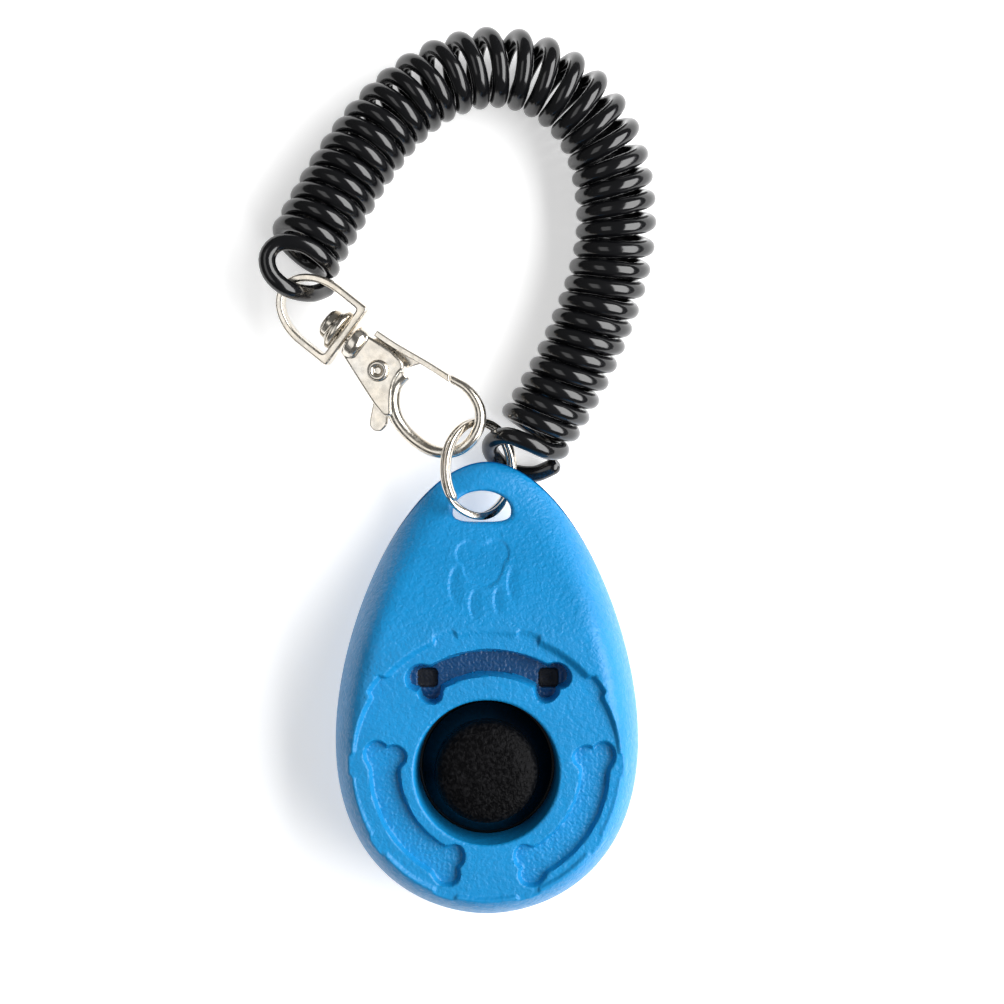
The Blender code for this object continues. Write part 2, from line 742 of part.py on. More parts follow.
def build_clasp_body(frame, finish):
    def outline(bm):
        prism(bm, BODY_OUTLINE, -BODY_HALF_THICKNESS, BODY_HALF_THICKNESS)
    body = mesh_object("clasp_body", outline)

    bow_points = spline_through([(x, y, 0.0) for x, y in BOW_LINE], 4)
    bow = as_mesh(tube("clasp_bow", bow_points, BOW_RADIUS))
    for vertex in bow.data.vertices:
        vertex.co.z *= BOW_HEIGHT_SCALE
    combine(body, bow, "UNION")

    def collar_build(bm):
        cylinder(bm, 2.35, 0.45, 2.2)
        bmesh.ops.rotate(bm, verts=bm.verts, matrix=Matrix.Rotation(math.pi / 2, 3, "Y"))
    collar = mesh_object("clasp_collar", collar_build, CUTTERS)
    combine(body, collar, "UNION")

    def bores(bm):
        cylinder(bm, STUD_RADIUS + 0.15, -0.2, 2.4, sides=16)
        bmesh.ops.rotate(bm, verts=bm.verts, matrix=Matrix.Rotation(math.pi / 2, 3, "Y"))
        x, y = RIVET_PLACE
        cylinder(bm, RIVET_RADIUS + 0.15, -0.5, 2.0, x, y, 16)
    bore = mesh_object("clasp_bores", bores, CUTTERS)

    def pocket(bm):
        x, y = RIVET_PLACE
        cylinder(bm, 1.85, -2.0, 0.0, x, y)
    spring_pocket = mesh_object("clasp_spring_pocket", pocket, CUTTERS)

    def slant(bm):
        x, y = NOSE_CUT
        prism(bm, [(x - 1.1, y), (x, y), (x + 3 * NOSE_SLANT, y - 3), (x - 1.1, y - 3)], -2.0, 2.0)
    nose_cut = mesh_object("clasp_nose_cut", slant, CUTTERS)
    combine(body, bore, "DIFFERENCE")
    combine(body, spring_pocket, "DIFFERENCE")
    combine(body, nose_cut, "DIFFERENCE")
    for piece in (body, bow, collar, bore, spring_pocket, nose_cut):
        piece.parent = frame
    return dress(smooth(body), finish)


def build_clasp_gate(frame, finish):
    """Lever behind the body: a thumb tab on one side, the gate arm on the other."""
    pivot_x, pivot_y = RIVET_PLACE
    shift = Matrix.Translation((-pivot_x, -pivot_y, 0.0))

    def lever(bm):
        prism(bm, LEVER_OUTLINE, *LEVER_Z)
        bmesh.ops.transform(bm, matrix=shift, verts=bm.verts)
    gate = mesh_object("clasp_gate", lever)

    def arm(bm):
        line = spline_through([(x, y, 0.0) for x, y in GATE_LINE], 3)
        outer = [(p.x, p.y + GATE_HALF_WIDTH) for p in line]
        inner = [(p.x, p.y - GATE_HALF_WIDTH) for p in line]
        outer[-1] = (outer[-1][0] - NOSE_SLANT * GATE_HALF_WIDTH, outer[-1][1])
        inner[-1] = (inner[-1][0] + NOSE_SLANT * GATE_HALF_WIDTH, inner[-1][1])
        prism(bm, outer + inner[::-1], LEVER_Z[0] + 0.2, 0.75)
        bmesh.ops.transform(bm, matrix=shift, verts=bm.verts)
    gate_arm = mesh_object("gate_arm", arm, CUTTERS)
    combine(gate, gate_arm, "UNION")

    def bore(bm):
        cylinder(bm, RIVET_RADIUS + 0.1, -4.0, 2.0, sides=16)
    gate_bore = mesh_object("gate_bore", bore, CUTTERS)
    combine(gate, gate_bore, "DIFFERENCE")
    for piece in (gate, gate_arm, gate_bore):
        piece.parent = frame
        piece.location = Vector((pivot_x, pivot_y, 0.0)) * MM
    return dress(gate, finish)


def build_gate_rivet(frame, finish):
    top = BODY_HALF_THICKNESS + GAP / 2
    foot = LEVER_Z[0] - GAP / 2
    profile = [(0.0, top + 0.15), (0.6, top + 0.15), (0.75, top + 0.4), (1.2, top + 0.4),
               (1.45, top + 0.2), (1.45, top), (RIVET_RADIUS, top), (RIVET_RADIUS, foot),
               (1.3, foot), (1.3, foot - 0.25), (0.9, foot - 0.45), (0.0, foot - 0.45)]
    rivet = turned("gate_rivet", profile, 24)
    rivet.parent = frame
    rivet.location = Vector((*RIVET_PLACE, 0.0)) * MM
    return dress(rivet, finish)


def build_gate_spring(frame, finish):
    """Torsion spring round the rivet, in the body's pocket."""
    turns, steps, radius = 2.0, 12, 1.35
    points = []
    for i in range(int(turns * steps) + 1):
        angle = 2 * math.pi * i / steps
        height = -1.05 + 0.42 * angle / (2 * math.pi)
        points.append((radius * math.cos(angle), radius * math.sin(angle), height))
    spring = tube("gate_spring", points, 0.16, 1)
    spring.parent = frame
    spring.location = Vector((*RIVET_PLACE, 0.0)) * MM
    return dress(spring, finish)


def eye_outlines():
    """Outer and inner outline of the D-shaped eye, from its plate back round the bow."""
    outlines = []
    for inset in (0.0, EYE_STRIP):
        radius = EYE_HALF_WIDTH + EYE_STRIP / 2 - inset
        front = 0.0 if inset == 0 else -EYE_PLATE
        outline = [(front, -radius), (front, radius)]
        for i in range(13):
            angle = math.pi / 2 + math.pi * i / 12
            back = (EYE_BOW + EYE_STRIP / 2 - inset) * math.cos(angle)
            outline.append((back - EYE_STRAIGHT, radius * math.sin(angle)))
        outlines.append(outline)
    return outlines


def build_swivel_eye(frame, finish):
    outer, inner = eye_outlines()
    eye = mesh_object("swivel_eye", lambda bm: prism(bm, outer, -EYE_HALF_HEIGHT, EYE_HALF_HEIGHT))
    window = mesh_object("eye_window", lambda bm: prism(bm, inner, -3.0, 3.0), CUTTERS)

    def stud_hole(bm):
        cylinder(bm, STUD_RADIUS + 0.1, -2.0, 1.0, sides=16)
        bmesh.ops.rotate(bm, verts=bm.verts, matrix=Matrix.Rotation(math.pi / 2, 3, "Y"))
    hole = mesh_object("eye_stud_hole", stud_hole, CUTTERS)
    combine(eye, window, "DIFFERENCE")
    combine(eye, hole, "DIFFERENCE")
    for piece in (eye, window, hole):
        piece.parent = frame
    return dress(eye, finish)


def build_swivel_stud(frame, finish):
    """Mushroom head inside the eye; its shank passes through the plate into the body."""
    head = -EYE_PLATE - GAP / 2
    profile = [(0.0, 2.0), (STUD_RADIUS, 2.0), (STUD_RADIUS, head), (2.9, head), (2.9, head - 0.7),
               (2.3, head - 1.0), (2.1, head - 2.1), (1.5, head - 2.5), (0.0, head - 2.6)]
    stud = turned("swivel_stud", profile, 24)
    stud.parent = frame
    stud.rotation_euler = (0.0, math.pi / 2, 0.0)
    return dress(stud, finish)


# ---------------------------------------------------------------- assembly

def build():
    clear_scene()
    blue = material("blue_plastic", (0.010, 0.250, 0.680), 0.45)
    black = material("black_plastic", (0.012, 0.012, 0.013), 0.55)
    gloss = material("black_coil_plastic", (0.010, 0.010, 0.011), 0.16)
    nickel = material("nickel_plate", (0.78, 0.76, 0.74), 0.16, 1.0)
    steel = material("spring_steel", (0.55, 0.56, 0.58), 0.35, 1.0)

    build_front_shell(blue)
    build_back_shell(blue)
    build_housing_screws(steel)
    build_button(black)
    build_snap_plate(steel)
    build_plate_clamp(steel)
    build_clamp_screws(steel)
    build_split_ring(nickel)
    build_coil_strap(gloss)

    frame = build_hook_frame()
    build_swivel_eye(frame, nickel)
    build_swivel_stud(frame, nickel)
    build_clasp_body(frame, nickel)
    build_clasp_gate(frame, nickel)
    build_gate_rivet(frame, nickel)
    build_gate_spring(frame, steel)


build()
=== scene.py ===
import math

import bmesh
import bpy
import numpy as np
from mathutils import Matrix, Vector


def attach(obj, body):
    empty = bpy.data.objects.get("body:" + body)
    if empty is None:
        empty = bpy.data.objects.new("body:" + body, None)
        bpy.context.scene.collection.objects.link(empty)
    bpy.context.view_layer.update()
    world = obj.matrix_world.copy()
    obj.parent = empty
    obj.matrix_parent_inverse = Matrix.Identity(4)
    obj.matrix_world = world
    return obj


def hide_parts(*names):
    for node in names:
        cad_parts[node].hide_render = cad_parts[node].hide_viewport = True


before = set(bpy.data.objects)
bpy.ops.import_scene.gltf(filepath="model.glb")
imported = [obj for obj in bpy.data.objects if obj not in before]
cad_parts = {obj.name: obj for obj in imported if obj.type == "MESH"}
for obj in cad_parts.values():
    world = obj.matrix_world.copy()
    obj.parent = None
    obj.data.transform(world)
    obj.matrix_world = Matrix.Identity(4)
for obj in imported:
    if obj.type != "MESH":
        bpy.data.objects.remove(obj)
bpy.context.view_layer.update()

# Lengths below are millimetres in the CAD's frame: +Y to the strap hole, +Z out of the button.
MM = 0.001

# Egg housing, as in the CAD
EGG_LENGTH = 60.0
EGG_HALF_WIDTH = 19.63
EGG_SQUARENESS = 1.047
EGG_TAPER = 0.238
EGG_TIP_ROUND = 0.0377
PARTING_Z = 6.6
CROWN_Z = 17.2
TIP_DROP = 8.8
TIP_START_Y = 4.0
TIP_RUN = 24.0
BACK_RISE = 5.1
BACK_START_Y = 10.0
BACK_RUN = 14.0
EDGE_ROUND = 5.0
EDGE_POWER = 2.5
SEAM = 0.05               # half the joint line between the shells
SEAM_ROUND = 0.22
WALL = 1.7
LEAST_CEILING = 1.8       # thickness of the front shell where it slopes
FLOOR_Z = 1.75            # inside of the back shell
CENTRE_Y = -10.45         # of the well, and of every ring round the shells

# How finely the shells are skinned: rings round the well's axis, each with a point on every spoke
SPOKES = 720
RING_STEP = 0.15
ROUND_FIELD = 17.0        # rings are circles out to this radius, then turn into the egg's outline
FLANK_RINGS = 121
FLANK_CROWDING = 1.35     # above 1 the rings crowd towards the outline
BACK_RINGS = (150, 40)    # over the flat of the back, and over its rounded edge
BACK_FLAT_SHARE = 0.86
BACK_CROWDING = 1.5

# Button well and the scalloped flat
WELL_RADIUS = 9.35
WELL_FOOT_RADIUS = 8.95
WELL_FOOT_Z = 8.7
LIP_ROUND = 0.45
TUBE_RADIUS = 10.9
PLATEAU_Z = 16.2
PLATEAU_CENTRE = (0.0, -9.5)
PLATEAU_RADIUS = 17.3
BUMP_HEIGHT = 0.7
BUMP_HALF_ANGLE = 4.6
BUMP_EDGE = 2.0           # degrees over which a bump rises
BUMP_PITCH = 36.0
FLAT_EDGE = (1.2, 0.8)    # width of the flat's rounded edge towards the strap, and elsewhere
FLAT_EDGE_SPLIT_Y = 2.0

# Bone recesses: middle angle, depth, half-width of the shaft
BONE_CENTRE = (0.4, -9.8)
BONE_RADIUS = 13.6
BONES = ((90.8, 3.4, 1.55), (210.6, 1.15, 1.85), (329.0, 1.15, 1.8))
BONE_LOBE_ANGLE = 37.2
BONE_LOBE_RADIUS = 1.55
BONE_LOBE_OFFSET = 1.15
BONE_EDGE = 0.5
BONE_BLEND = 0.6
PIT_HEIGHT = 0.05
DEEP_FLOOR_Z = PLATEAU_Z - BONES[0][1]

# Sound ports in the end lobes of the deep bone
PORTS = ((-7.7, 1.6), (8.1, 1.6))
PORT_HALF = (1.25, 1.2)
PORT_CORNER = 0.55
PORT_DEPTH = 0.9
PORT_EDGE = 0.22
CEILING_Z = 11.4

# Paw relief: toes as centre x, y and half sizes; the heart-shaped pad
TOES = (
    (-3.8, 13.75, 1.12, 2.5), (-1.35, 11.3, 0.92, 1.9), (1.8, 11.8, 0.92, 1.75), (3.65, 14.05, 0.97, 2.1),
)
HEART_CENTRE = (-0.5, 16.6)
# The heart's two lobes and its body: offset from the centre and half sizes
HEART_ROUNDS = ((-1.9, 1.2, 1.7, 1.7), (1.7, 1.3, 1.75, 1.75), (0.0, -0.3, 2.65, 2.85))
RELIEF_DEPTH = 0.2
RELIEF_EDGE = 0.3

# Strap hole
HOLE_Y = 23.4
HOLE_X = -0.7
HOLE_HALF_WIDTH = 3.9
HOLE_RISE = 2.7
HOLE_FALL = 1.45
HOLE_LIP = 0.55
HOLE_POWERS = (2.0, 3.2)  # an ellipse towards the strap, squarer corners towards the button
HOLE_SIZES = (2.9, 1.9)   # mean sizes of the two parts, which turn a share into millimetres

# Screws
SCREW_PLACES = {"tip": (0.0, 11.5), "left": (-11.2, -20.0), "right": (11.2, -20.0)}
COUNTERBORE = 2.2
COUNTERBORE_DEPTH = 0.8
SCREW_SEAT = 0.65         # underside of a head above the back's level
# Radius and height from the seat
SCREW_HEAD = ((0.0, -0.6), (1.1, -0.6), (1.6, -0.5), (1.88, -0.22), (1.9, 0.0), (1.0, 0.0))
SCREW_SHANK = ((1.0, 7.2), (0.5, 8.0), (0.0, 8.0))
SLOT_HALF_LENGTH = 0.95
SLOT_HALF_WIDTH = 0.17
SLOT_FLOOR = 0.22
SLOT_TURN = 20.0

# Button: radius and drop from the top of the cap, then radius and height of the rest
BUTTON_TOP_Z = 17.3
CAP = ((0.0, 0.0), (2.3, 0.06), (4.05, 0.22), (5.4, 0.55), (6.2, 1.0), (6.55, 1.6), (6.62, 2.6))
SKIRT = ((6.8, 13.0), (7.3, 11.4), (8.1, 9.9), (8.5, 9.2), (8.65, 8.3))
SKIRT_TOP_Z = 14.9
FLANGE_AND_HOLLOW = (
    (10.25, 8.28), (10.25, 7.2), (8.3, 7.2), (6.1, 11.2), (5.6, 15.0), (2.0, 15.3), (2.0, 6.3),
    (1.6, 5.92), (0.0, 5.92),
)


# ---------------------------------------------------------------- meshes

def make_object(name, vertices, faces):
    """A mesh object from millimetre vertices."""
    mesh = bpy.data.meshes.new(name)
    mesh.from_pydata([tuple(v) for v in np.asarray(vertices, dtype=float) * MM], [], faces)
    mesh.validate()
    mesh.update()
    obj = bpy.data.objects.new(name, mesh)
    bpy.context.scene.collection.objects.link(obj)
    mesh.shade_smooth()
    return obj


def outward(obj):
    bm = bmesh.new()
    bm.from_mesh(obj.data)
    bmesh.ops.recalc_face_normals(bm, faces=bm.faces)
    bm.to_mesh(obj.data)
    bm.free()
    return obj


def sharpen(obj, angle=35.0):
    obj.data.shade_smooth()
    obj.data.set_sharp_from_angle(angle=math.radians(angle))
    return obj


def skin_faces(rows, columns, wrap_rows):
    """Quads over a grid of rows x columns whose columns close round."""
    faces = []
    for row in range(rows if wrap_rows else rows - 1):
        low, high = row * columns, ((row + 1) % rows) * columns
        for i in range(columns):
            j = (i + 1) % columns
            faces.append((low + i, low + j, high + j, high + i))
    return faces


def loft(name, rings, wrap=False, angle=35.0):
    """Skin equal rings of points; without wrap both ends are capped."""
    columns = len(rings[0])
    faces = skin_faces(len(rings), columns, wrap)
    if not wrap:
        last = (len(rings) - 1) * columns
        faces.append(tuple(range(columns))[::-1])
        faces.append(tuple(last + i for i in range(columns)))
    obj = make_object(name, np.concatenate([np.asarray(ring, dtype=float) for ring in rings]), faces)
    return sharpen(outward(obj), angle)


def lathe(name, profile, steps=96, angle=35.0):
    """Turn (radius, height) points about Z. Ends on the axis close to a point."""
    turn = np.arange(steps) * 2 * math.pi / steps
    inner = [point for point in profile if point[0] > 1e-9]
    vertices = []
    for radius, z in inner:
        vertices.extend(zip(radius * np.cos(turn), radius * np.sin(turn), np.full(steps, z)))
    closed = len(inner) == len(profile)
    faces = skin_faces(len(inner), steps, closed)
    if not closed:
        for z, row in ((profile[0][1], 0), (profile[-1][1], len(inner) - 1)):
            hub = len(vertices)
            vertices.append((0.0, 0.0, z))
            for i in range(steps):
                faces.append((hub, row * steps + i, row * steps + (i + 1) % steps))
    return sharpen(outward(make_object(name, vertices, faces)), angle)


def round_corners(points, radius, steps, closed=False):
    """Replace each corner by a short curve that starts radius away from it."""
    made = []
    count = len(points)
    for i, point in enumerate(points):
        if not closed and i in (0, count - 1):
            made.append(tuple(point))
            continue
        here = Vector(point)
        before = Vector(points[i - 1]) - here
        after = Vector(points[(i + 1) % count]) - here
        start = here + before.normalized() * min(radius, before.length * 0.48)
        end = here + after.normalized() * min(radius, after.length * 0.48)
        for step in range(steps + 1):
            t = step / steps
            made.append(tuple(start * (1 - t) ** 2 + here * 2 * t * (1 - t) + end * t * t))
    return made


def inset(outline, amount):
    """Move a closed counter-clockwise outline inwards."""
    points = np.asarray(outline, dtype=float)
    ahead = np.roll(points, -1, axis=0) - np.roll(points, 1, axis=0)
    length = np.maximum(np.linalg.norm(ahead, axis=1, keepdims=True), 1e-9)
    normal = np.stack([-ahead[:, 1], ahead[:, 0]], axis=1) / length
    area = np.sum(points[:, 0] * np.roll(points[:, 1], -1) - np.roll(points[:, 0], -1) * points[:, 1])
    return points + normal * amount * (1 if area > 0 else -1)


def bevelled_prism(name, outline, low, high, bevel, steps=4):
    """Extruded outline whose top and bottom edges are rounded."""
    turns = np.linspace(0, math.pi / 2, steps + 1)
    edge = [(bevel * (1 - math.sin(turn)), bevel * (1 - math.cos(turn))) for turn in turns]
    levels = [(inward, low + rise) for inward, rise in edge]
    levels += [(inward, high - rise) for inward, rise in edge[::-1]]
    rings = []
    for inward, z in levels:
        ring = inset(outline, inward)
        rings.append(np.column_stack([ring, np.full(len(ring), z)]))
    return loft(name, rings)


def catmull(points, steps):
    """Catmull-Rom points through the given ones."""
    ends = np.asarray(points, dtype=float)
    ends = np.vstack([ends[0] * 2 - ends[1], ends, ends[-1] * 2 - ends[-2]])
    line = []
    for a, b, c, d in zip(ends, ends[1:], ends[2:], ends[3:]):
        for step in range(steps):
            t = step / steps
            line.append(0.5 * (2 * b + (c - a) * t + (2 * a - 5 * b + 4 * c - d) * t * t
                               + (3 * b - a - 3 * c + d) * t ** 3))
    line.append(ends[-2])
    return np.array(line)


def sweep(name, line, section, up=None, scale=None):
    """Carry a closed 2-D section along a line, with frames that don't twist."""
    line = np.asarray(line, dtype=float)
    tangent = np.gradient(line, axis=0)
    tangent /= np.linalg.norm(tangent, axis=1, keepdims=True)
    side = np.cross(tangent[0], up if up is not None else (0.0, 0.0, 1.0))
    side /= np.linalg.norm(side)
    rings = []
    for i, (point, forward) in enumerate(zip(line, tangent)):
        if up is not None:
            side = np.cross(forward, up)
        else:
            side = side - forward * np.dot(side, forward)
        side /= np.linalg.norm(side)
        rise = np.cross(side, forward)
        size = 1.0 if scale is None else scale[i]
        rings.append([point + (side * u + rise * v) * size for u, v in section])
    return loft(name, rings)


def bar(name, radius, top, foot, steps):
    """A round bar along Z."""
    return lathe(name, [(0.0, top), (radius, top), (radius, foot), (0.0, foot)], steps)


def ellipse(a, b, count):
    turn = [2 * math.pi * i / count for i in range(count)]
    return [(a * math.cos(t), b * math.sin(t)) for t in turn]


def boolean(obj, cutter):
    """Cut the cutter's solid out of obj and drop the cutter."""
    modifier = obj.modifiers.new("cut", "BOOLEAN")
    modifier.object = cutter
    modifier.operation = "DIFFERENCE"
    modifier.solver = "MANIFOLD"
    bake(obj)
    bpy.data.objects.remove(cutter, do_unlink=True)
    return obj


def bake(obj):
    """Replace the mesh by its modified form and clear the modifiers."""
    bpy.context.view_layer.update()
    graph = bpy.context.evaluated_depsgraph_get()
    mesh = bpy.data.meshes.new_from_object(obj.evaluated_get(graph))
    obj.modifiers.clear()
    obj.data = mesh
    return obj


def remesh(obj, voxel, smoothing):
    """One even skin over joined solids, with the seams blended."""
    cover = obj.modifiers.new("cover", "REMESH")
    cover.mode = "VOXEL"
    cover.voxel_size = voxel * MM
    relax = obj.modifiers.new("relax", "SMOOTH")
    relax.factor = 0.5
    relax.iterations = smoothing
    bake(obj)
    obj.data.shade_smooth()
    return obj


def join(obj, *others):
    """Put the others' meshes into obj."""
    bm = bmesh.new()
    bm.from_mesh(obj.data)
    for other in others:
        bm.from_mesh(other.data)
    bm.to_mesh(obj.data)
    bm.free()
    for other in others:
        bpy.data.objects.remove(other, do_unlink=True)
    return obj


# ---------------------------------------------------------------- the egg's surfaces

def smooth_step(t):
    t = np.clip(t, 0.0, 1.0)
    return t * t * (3 - 2 * t)


def half_width(y):
    """Half the egg's width at y."""
    c = np.clip(y / (EGG_LENGTH / 2), -1.0, 1.0)
    swell = np.exp(-EGG_TAPER * c + EGG_TIP_ROUND * c * c)
    return EGG_HALF_WIDTH * (1 - c * c) ** (EGG_SQUARENESS / 2) * swell


def reach(angles):
    """Distance from the well's axis to the egg's outline."""
    near = np.zeros_like(angles)
    far = np.full_like(angles, EGG_LENGTH)
    for _ in range(44):
        middle = (near + far) / 2
        x, y = middle * np.cos(angles), CENTRE_Y + middle * np.sin(angles)
        inside = (np.abs(y) < EGG_LENGTH / 2) & (np.abs(x) < half_width(y))
        near, far = np.where(inside, middle, near), np.where(inside, far, middle)
    return near


def spoke_angles():
    """Angles spaced so that points on the outline are about evenly spread."""
    fine = np.linspace(0, 2 * math.pi, 3601)
    weight = np.cumsum(np.concatenate([[0], (reach(fine)[1:] + 6)]))
    return np.interp(np.arange(SPOKES) * weight[-1] / SPOKES, weight, fine)


ANGLES = spoke_angles()
RIM = reach(ANGLES)
OUTLINE_ANGLES = np.linspace(0, 2 * math.pi, 361)
OUTLINE_REACH = reach(OUTLINE_ANGLES)
OUTLINE = np.column_stack([OUTLINE_REACH * np.cos(OUTLINE_ANGLES),
                           CENTRE_Y + OUTLINE_REACH * np.sin(OUTLINE_ANGLES)])


def edge_distance(x, y):
    """Distance in plan from points inside the egg to its outline."""
    start, along = OUTLINE[:-1], OUTLINE[1:] - OUTLINE[:-1]
    span = np.sum(along ** 2, axis=1)
    nearest = np.empty(x.size)
    here = np.column_stack([x.ravel(), y.ravel()])
    for first in range(0, len(here), 4000):
        part = here[first:first + 4000, None, :] - start[None]
        t = np.clip(np.sum(part * along, axis=2) / span, 0, 1)
        gap = part - along * t[..., None]
        nearest[first:first + 4000] = np.sqrt(np.min(np.sum(gap ** 2, axis=2), axis=1))
    return nearest.reshape(x.shape)


def fullness(x, y):
    """Share of the full height: 0 at the outline, 1 inside the rounded edge."""
    inward = np.minimum(edge_distance(x, y) / EDGE_ROUND, 1.0)
    return np.sqrt(np.maximum(1 - (1 - inward) ** EDGE_POWER, 0.0))


def dome(x, y, full):
    crown = CROWN_Z - TIP_DROP * smooth_step((y - TIP_START_Y) / TIP_RUN)
    return PARTING_Z + (crown - PARTING_Z) * full


def back_level(y):
    """Height of the underside's middle above the resting plane."""
    return BACK_RISE * smooth_step((y - BACK_START_Y) / BACK_RUN)


def back(x, y, full):
    return PARTING_Z - (PARTING_Z - back_level(y)) * full


def plateau_gap(x, y):
    """Distance outside the scalloped edge of the flat; negative on the flat."""
    u, v = x - PLATEAU_CENTRE[0], y - PLATEAU_CENTRE[1]
    turn = np.degrees(np.arctan2(v, u))
    offset = np.abs((turn + BUMP_PITCH / 2) % BUMP_PITCH - BUMP_PITCH / 2)
    bump = BUMP_HEIGHT * smooth_step((BUMP_HALF_ANGLE - offset) / BUMP_EDGE + 0.5)
    return np.hypot(u, v) - PLATEAU_RADIUS - bump


def bone_gap(x, y, middle, shaft):
    """Signed distance to one bone's outline; negative inside."""
    u, v = x - BONE_CENTRE[0], y - BONE_CENTRE[1]
    turn = (np.degrees(np.arctan2(v, u)) - middle + 180) % 360 - 180
    along = np.abs(np.radians(turn)) * BONE_RADIUS
    across = np.abs(np.hypot(u, v) - BONE_RADIUS)
    end = math.radians(BONE_LOBE_ANGLE) * BONE_RADIUS
    shank = np.maximum(along - end, across - shaft)
    lobe = np.hypot(along - end, across - BONE_LOBE_OFFSET) - BONE_LOBE_RADIUS
    mix = np.clip(0.5 + 0.5 * (lobe - shank) / BONE_BLEND, 0, 1)
    return lobe * (1 - mix) + shank * mix - BONE_BLEND * mix * (1 - mix)


def wall(gap, width):
    """1 well inside, 0 well outside, with rounded edges."""
    return smooth_step(0.5 - gap / width)


def heart_gap(x, y):
    """Roughly the distance outside the paw's pad."""
    gap = np.full_like(x, 9.0)
    for cx, cy, a, b in HEART_ROUNDS:
        u, v = x - HEART_CENTRE[0] - cx, y - HEART_CENTRE[1] - cy
        gap = np.minimum(gap, (np.hypot(u / a, v / b) - 1) * a)
    return gap


def relief(x, y):
    """Depth of the paw: each mark is deepest along its left edge and runs out to its right."""
    depth = np.zeros_like(x)
    for cx, cy, a, b in TOES:
        gap = (np.hypot((x - cx) / a, (y - cy) / b) - 1) * a
        fade = 1 - smooth_step((x - cx + a) / (1.9 * a))
        depth = np.maximum(depth, RELIEF_DEPTH * wall(gap, RELIEF_EDGE) * fade)
    return np.maximum(depth, RELIEF_DEPTH * 0.9 * wall(heart_gap(x, y), 0.32))


def pits(x, y):
    """Coarse lumps on the floors of the recesses."""
    return np.sin(5.1 * x + 2.2 * np.sin(3.7 * y)) * np.sin(4.6 * y + 1.9 * np.sin(4.1 * x))


def hole_gap(x, y):
    """Roughly the distance outside the D-shaped strap hole."""
    u, v = x - HOLE_X, y - HOLE_Y
    rise = np.where(v > 0, v / HOLE_RISE, v / HOLE_FALL)
    power = np.where(v > 0, *HOLE_POWERS)
    size = (np.abs(u / HOLE_HALF_WIDTH) ** power + np.abs(rise) ** power) ** (1 / power)
    return (size - 1) * np.where(v > 0, *HOLE_SIZES)


def hole_lip(x, y):
    """How far the surface falls away beside the strap hole."""
    near = np.clip(hole_gap(x, y), 0, HOLE_LIP)
    return HOLE_LIP - np.sqrt(np.maximum(HOLE_LIP ** 2 - (HOLE_LIP - near) ** 2, 0))


def port_gap(x, y):
    """Distance outside a round-cornered square port about the origin; negative inside its corners."""
    beyond = [np.maximum(np.abs(a) - half + PORT_CORNER, 0) for a, half in zip((x, y), PORT_HALF)]
    return np.hypot(*beyond) - PORT_CORNER


def front_height(x, y, full):
    z = dome(x, y, full)
    on_flat = wall(plateau_gap(x, y), np.where(y > FLAT_EDGE_SPLIT_Y, *FLAT_EDGE))
    z = z + (PLATEAU_Z - z) * on_flat
    for middle, depth, shaft in BONES:
        inside = wall(bone_gap(x, y, middle, shaft), BONE_EDGE)
        z = z - inside * (depth + PIT_HEIGHT * pits(x, y))
    for px, py in PORTS:
        z = z - PORT_DEPTH * wall(port_gap(x - px, y - py), PORT_EDGE)
    z = z - relief(x, y)
    return z - hole_lip(x, y)


def back_surface(x, y, full):
    z = back(x, y, full)
    for sx, sy in SCREW_PLACES.values():
        inside = wall(np.hypot(x - sx, y - sy) - COUNTERBORE, 0.25)
        z = z + (back_level(sy) + COUNTERBORE_DEPTH - z) * inside
    return z + hole_lip(x, y)


def ring_at(radii, z):
    """A level ring of points, one on every spoke."""
    x, y = radii * np.cos(ANGLES), CENTRE_Y + radii * np.sin(ANGLES)
    return np.column_stack([x, y, np.full(SPOKES, z)])


def surface_rings(radii, height):
    """Rings at rows of radii, lifted to height(x, y, fullness)."""
    radii = np.asarray(radii)
    x, y = radii * np.cos(ANGLES), CENTRE_Y + radii * np.sin(ANGLES)
    z = height(x, y, fullness(x, y))
    return [np.column_stack([a, b, c]) for a, b, c in zip(x, y, z)]


def seam_rings(z, sense):
    """Down the last of the outside and round into the joint, which lies at height z."""
    return [
        ring_at(RIM, z + sense * (SEAM_ROUND + 0.3)),
        ring_at(RIM, z + sense * SEAM_ROUND),
        ring_at(RIM - SEAM_ROUND * 0.3, z + sense * SEAM_ROUND * 0.3),
        ring_at(RIM - SEAM_ROUND, z),
        ring_at(RIM - WALL, z),
    ]


def strap_hole_cutter():
    outline = []
    steps = 96
    for i in range(steps):
        turn = 2 * math.pi * i / steps
        power = 2 / (HOLE_POWERS[0] if math.sin(turn) > 0 else HOLE_POWERS[1])
        u = math.copysign(abs(math.cos(turn)) ** power, math.cos(turn)) * HOLE_HALF_WIDTH
        rise = HOLE_RISE if math.sin(turn) > 0 else HOLE_FALL
        v = math.copysign(abs(math.sin(turn)) ** power, math.sin(turn)) * rise
        outline.append((HOLE_X + u, HOLE_Y + v))
    return bevelled_prism("hole_cutter", outline, -2.0, 20.0, 0.01, 1)


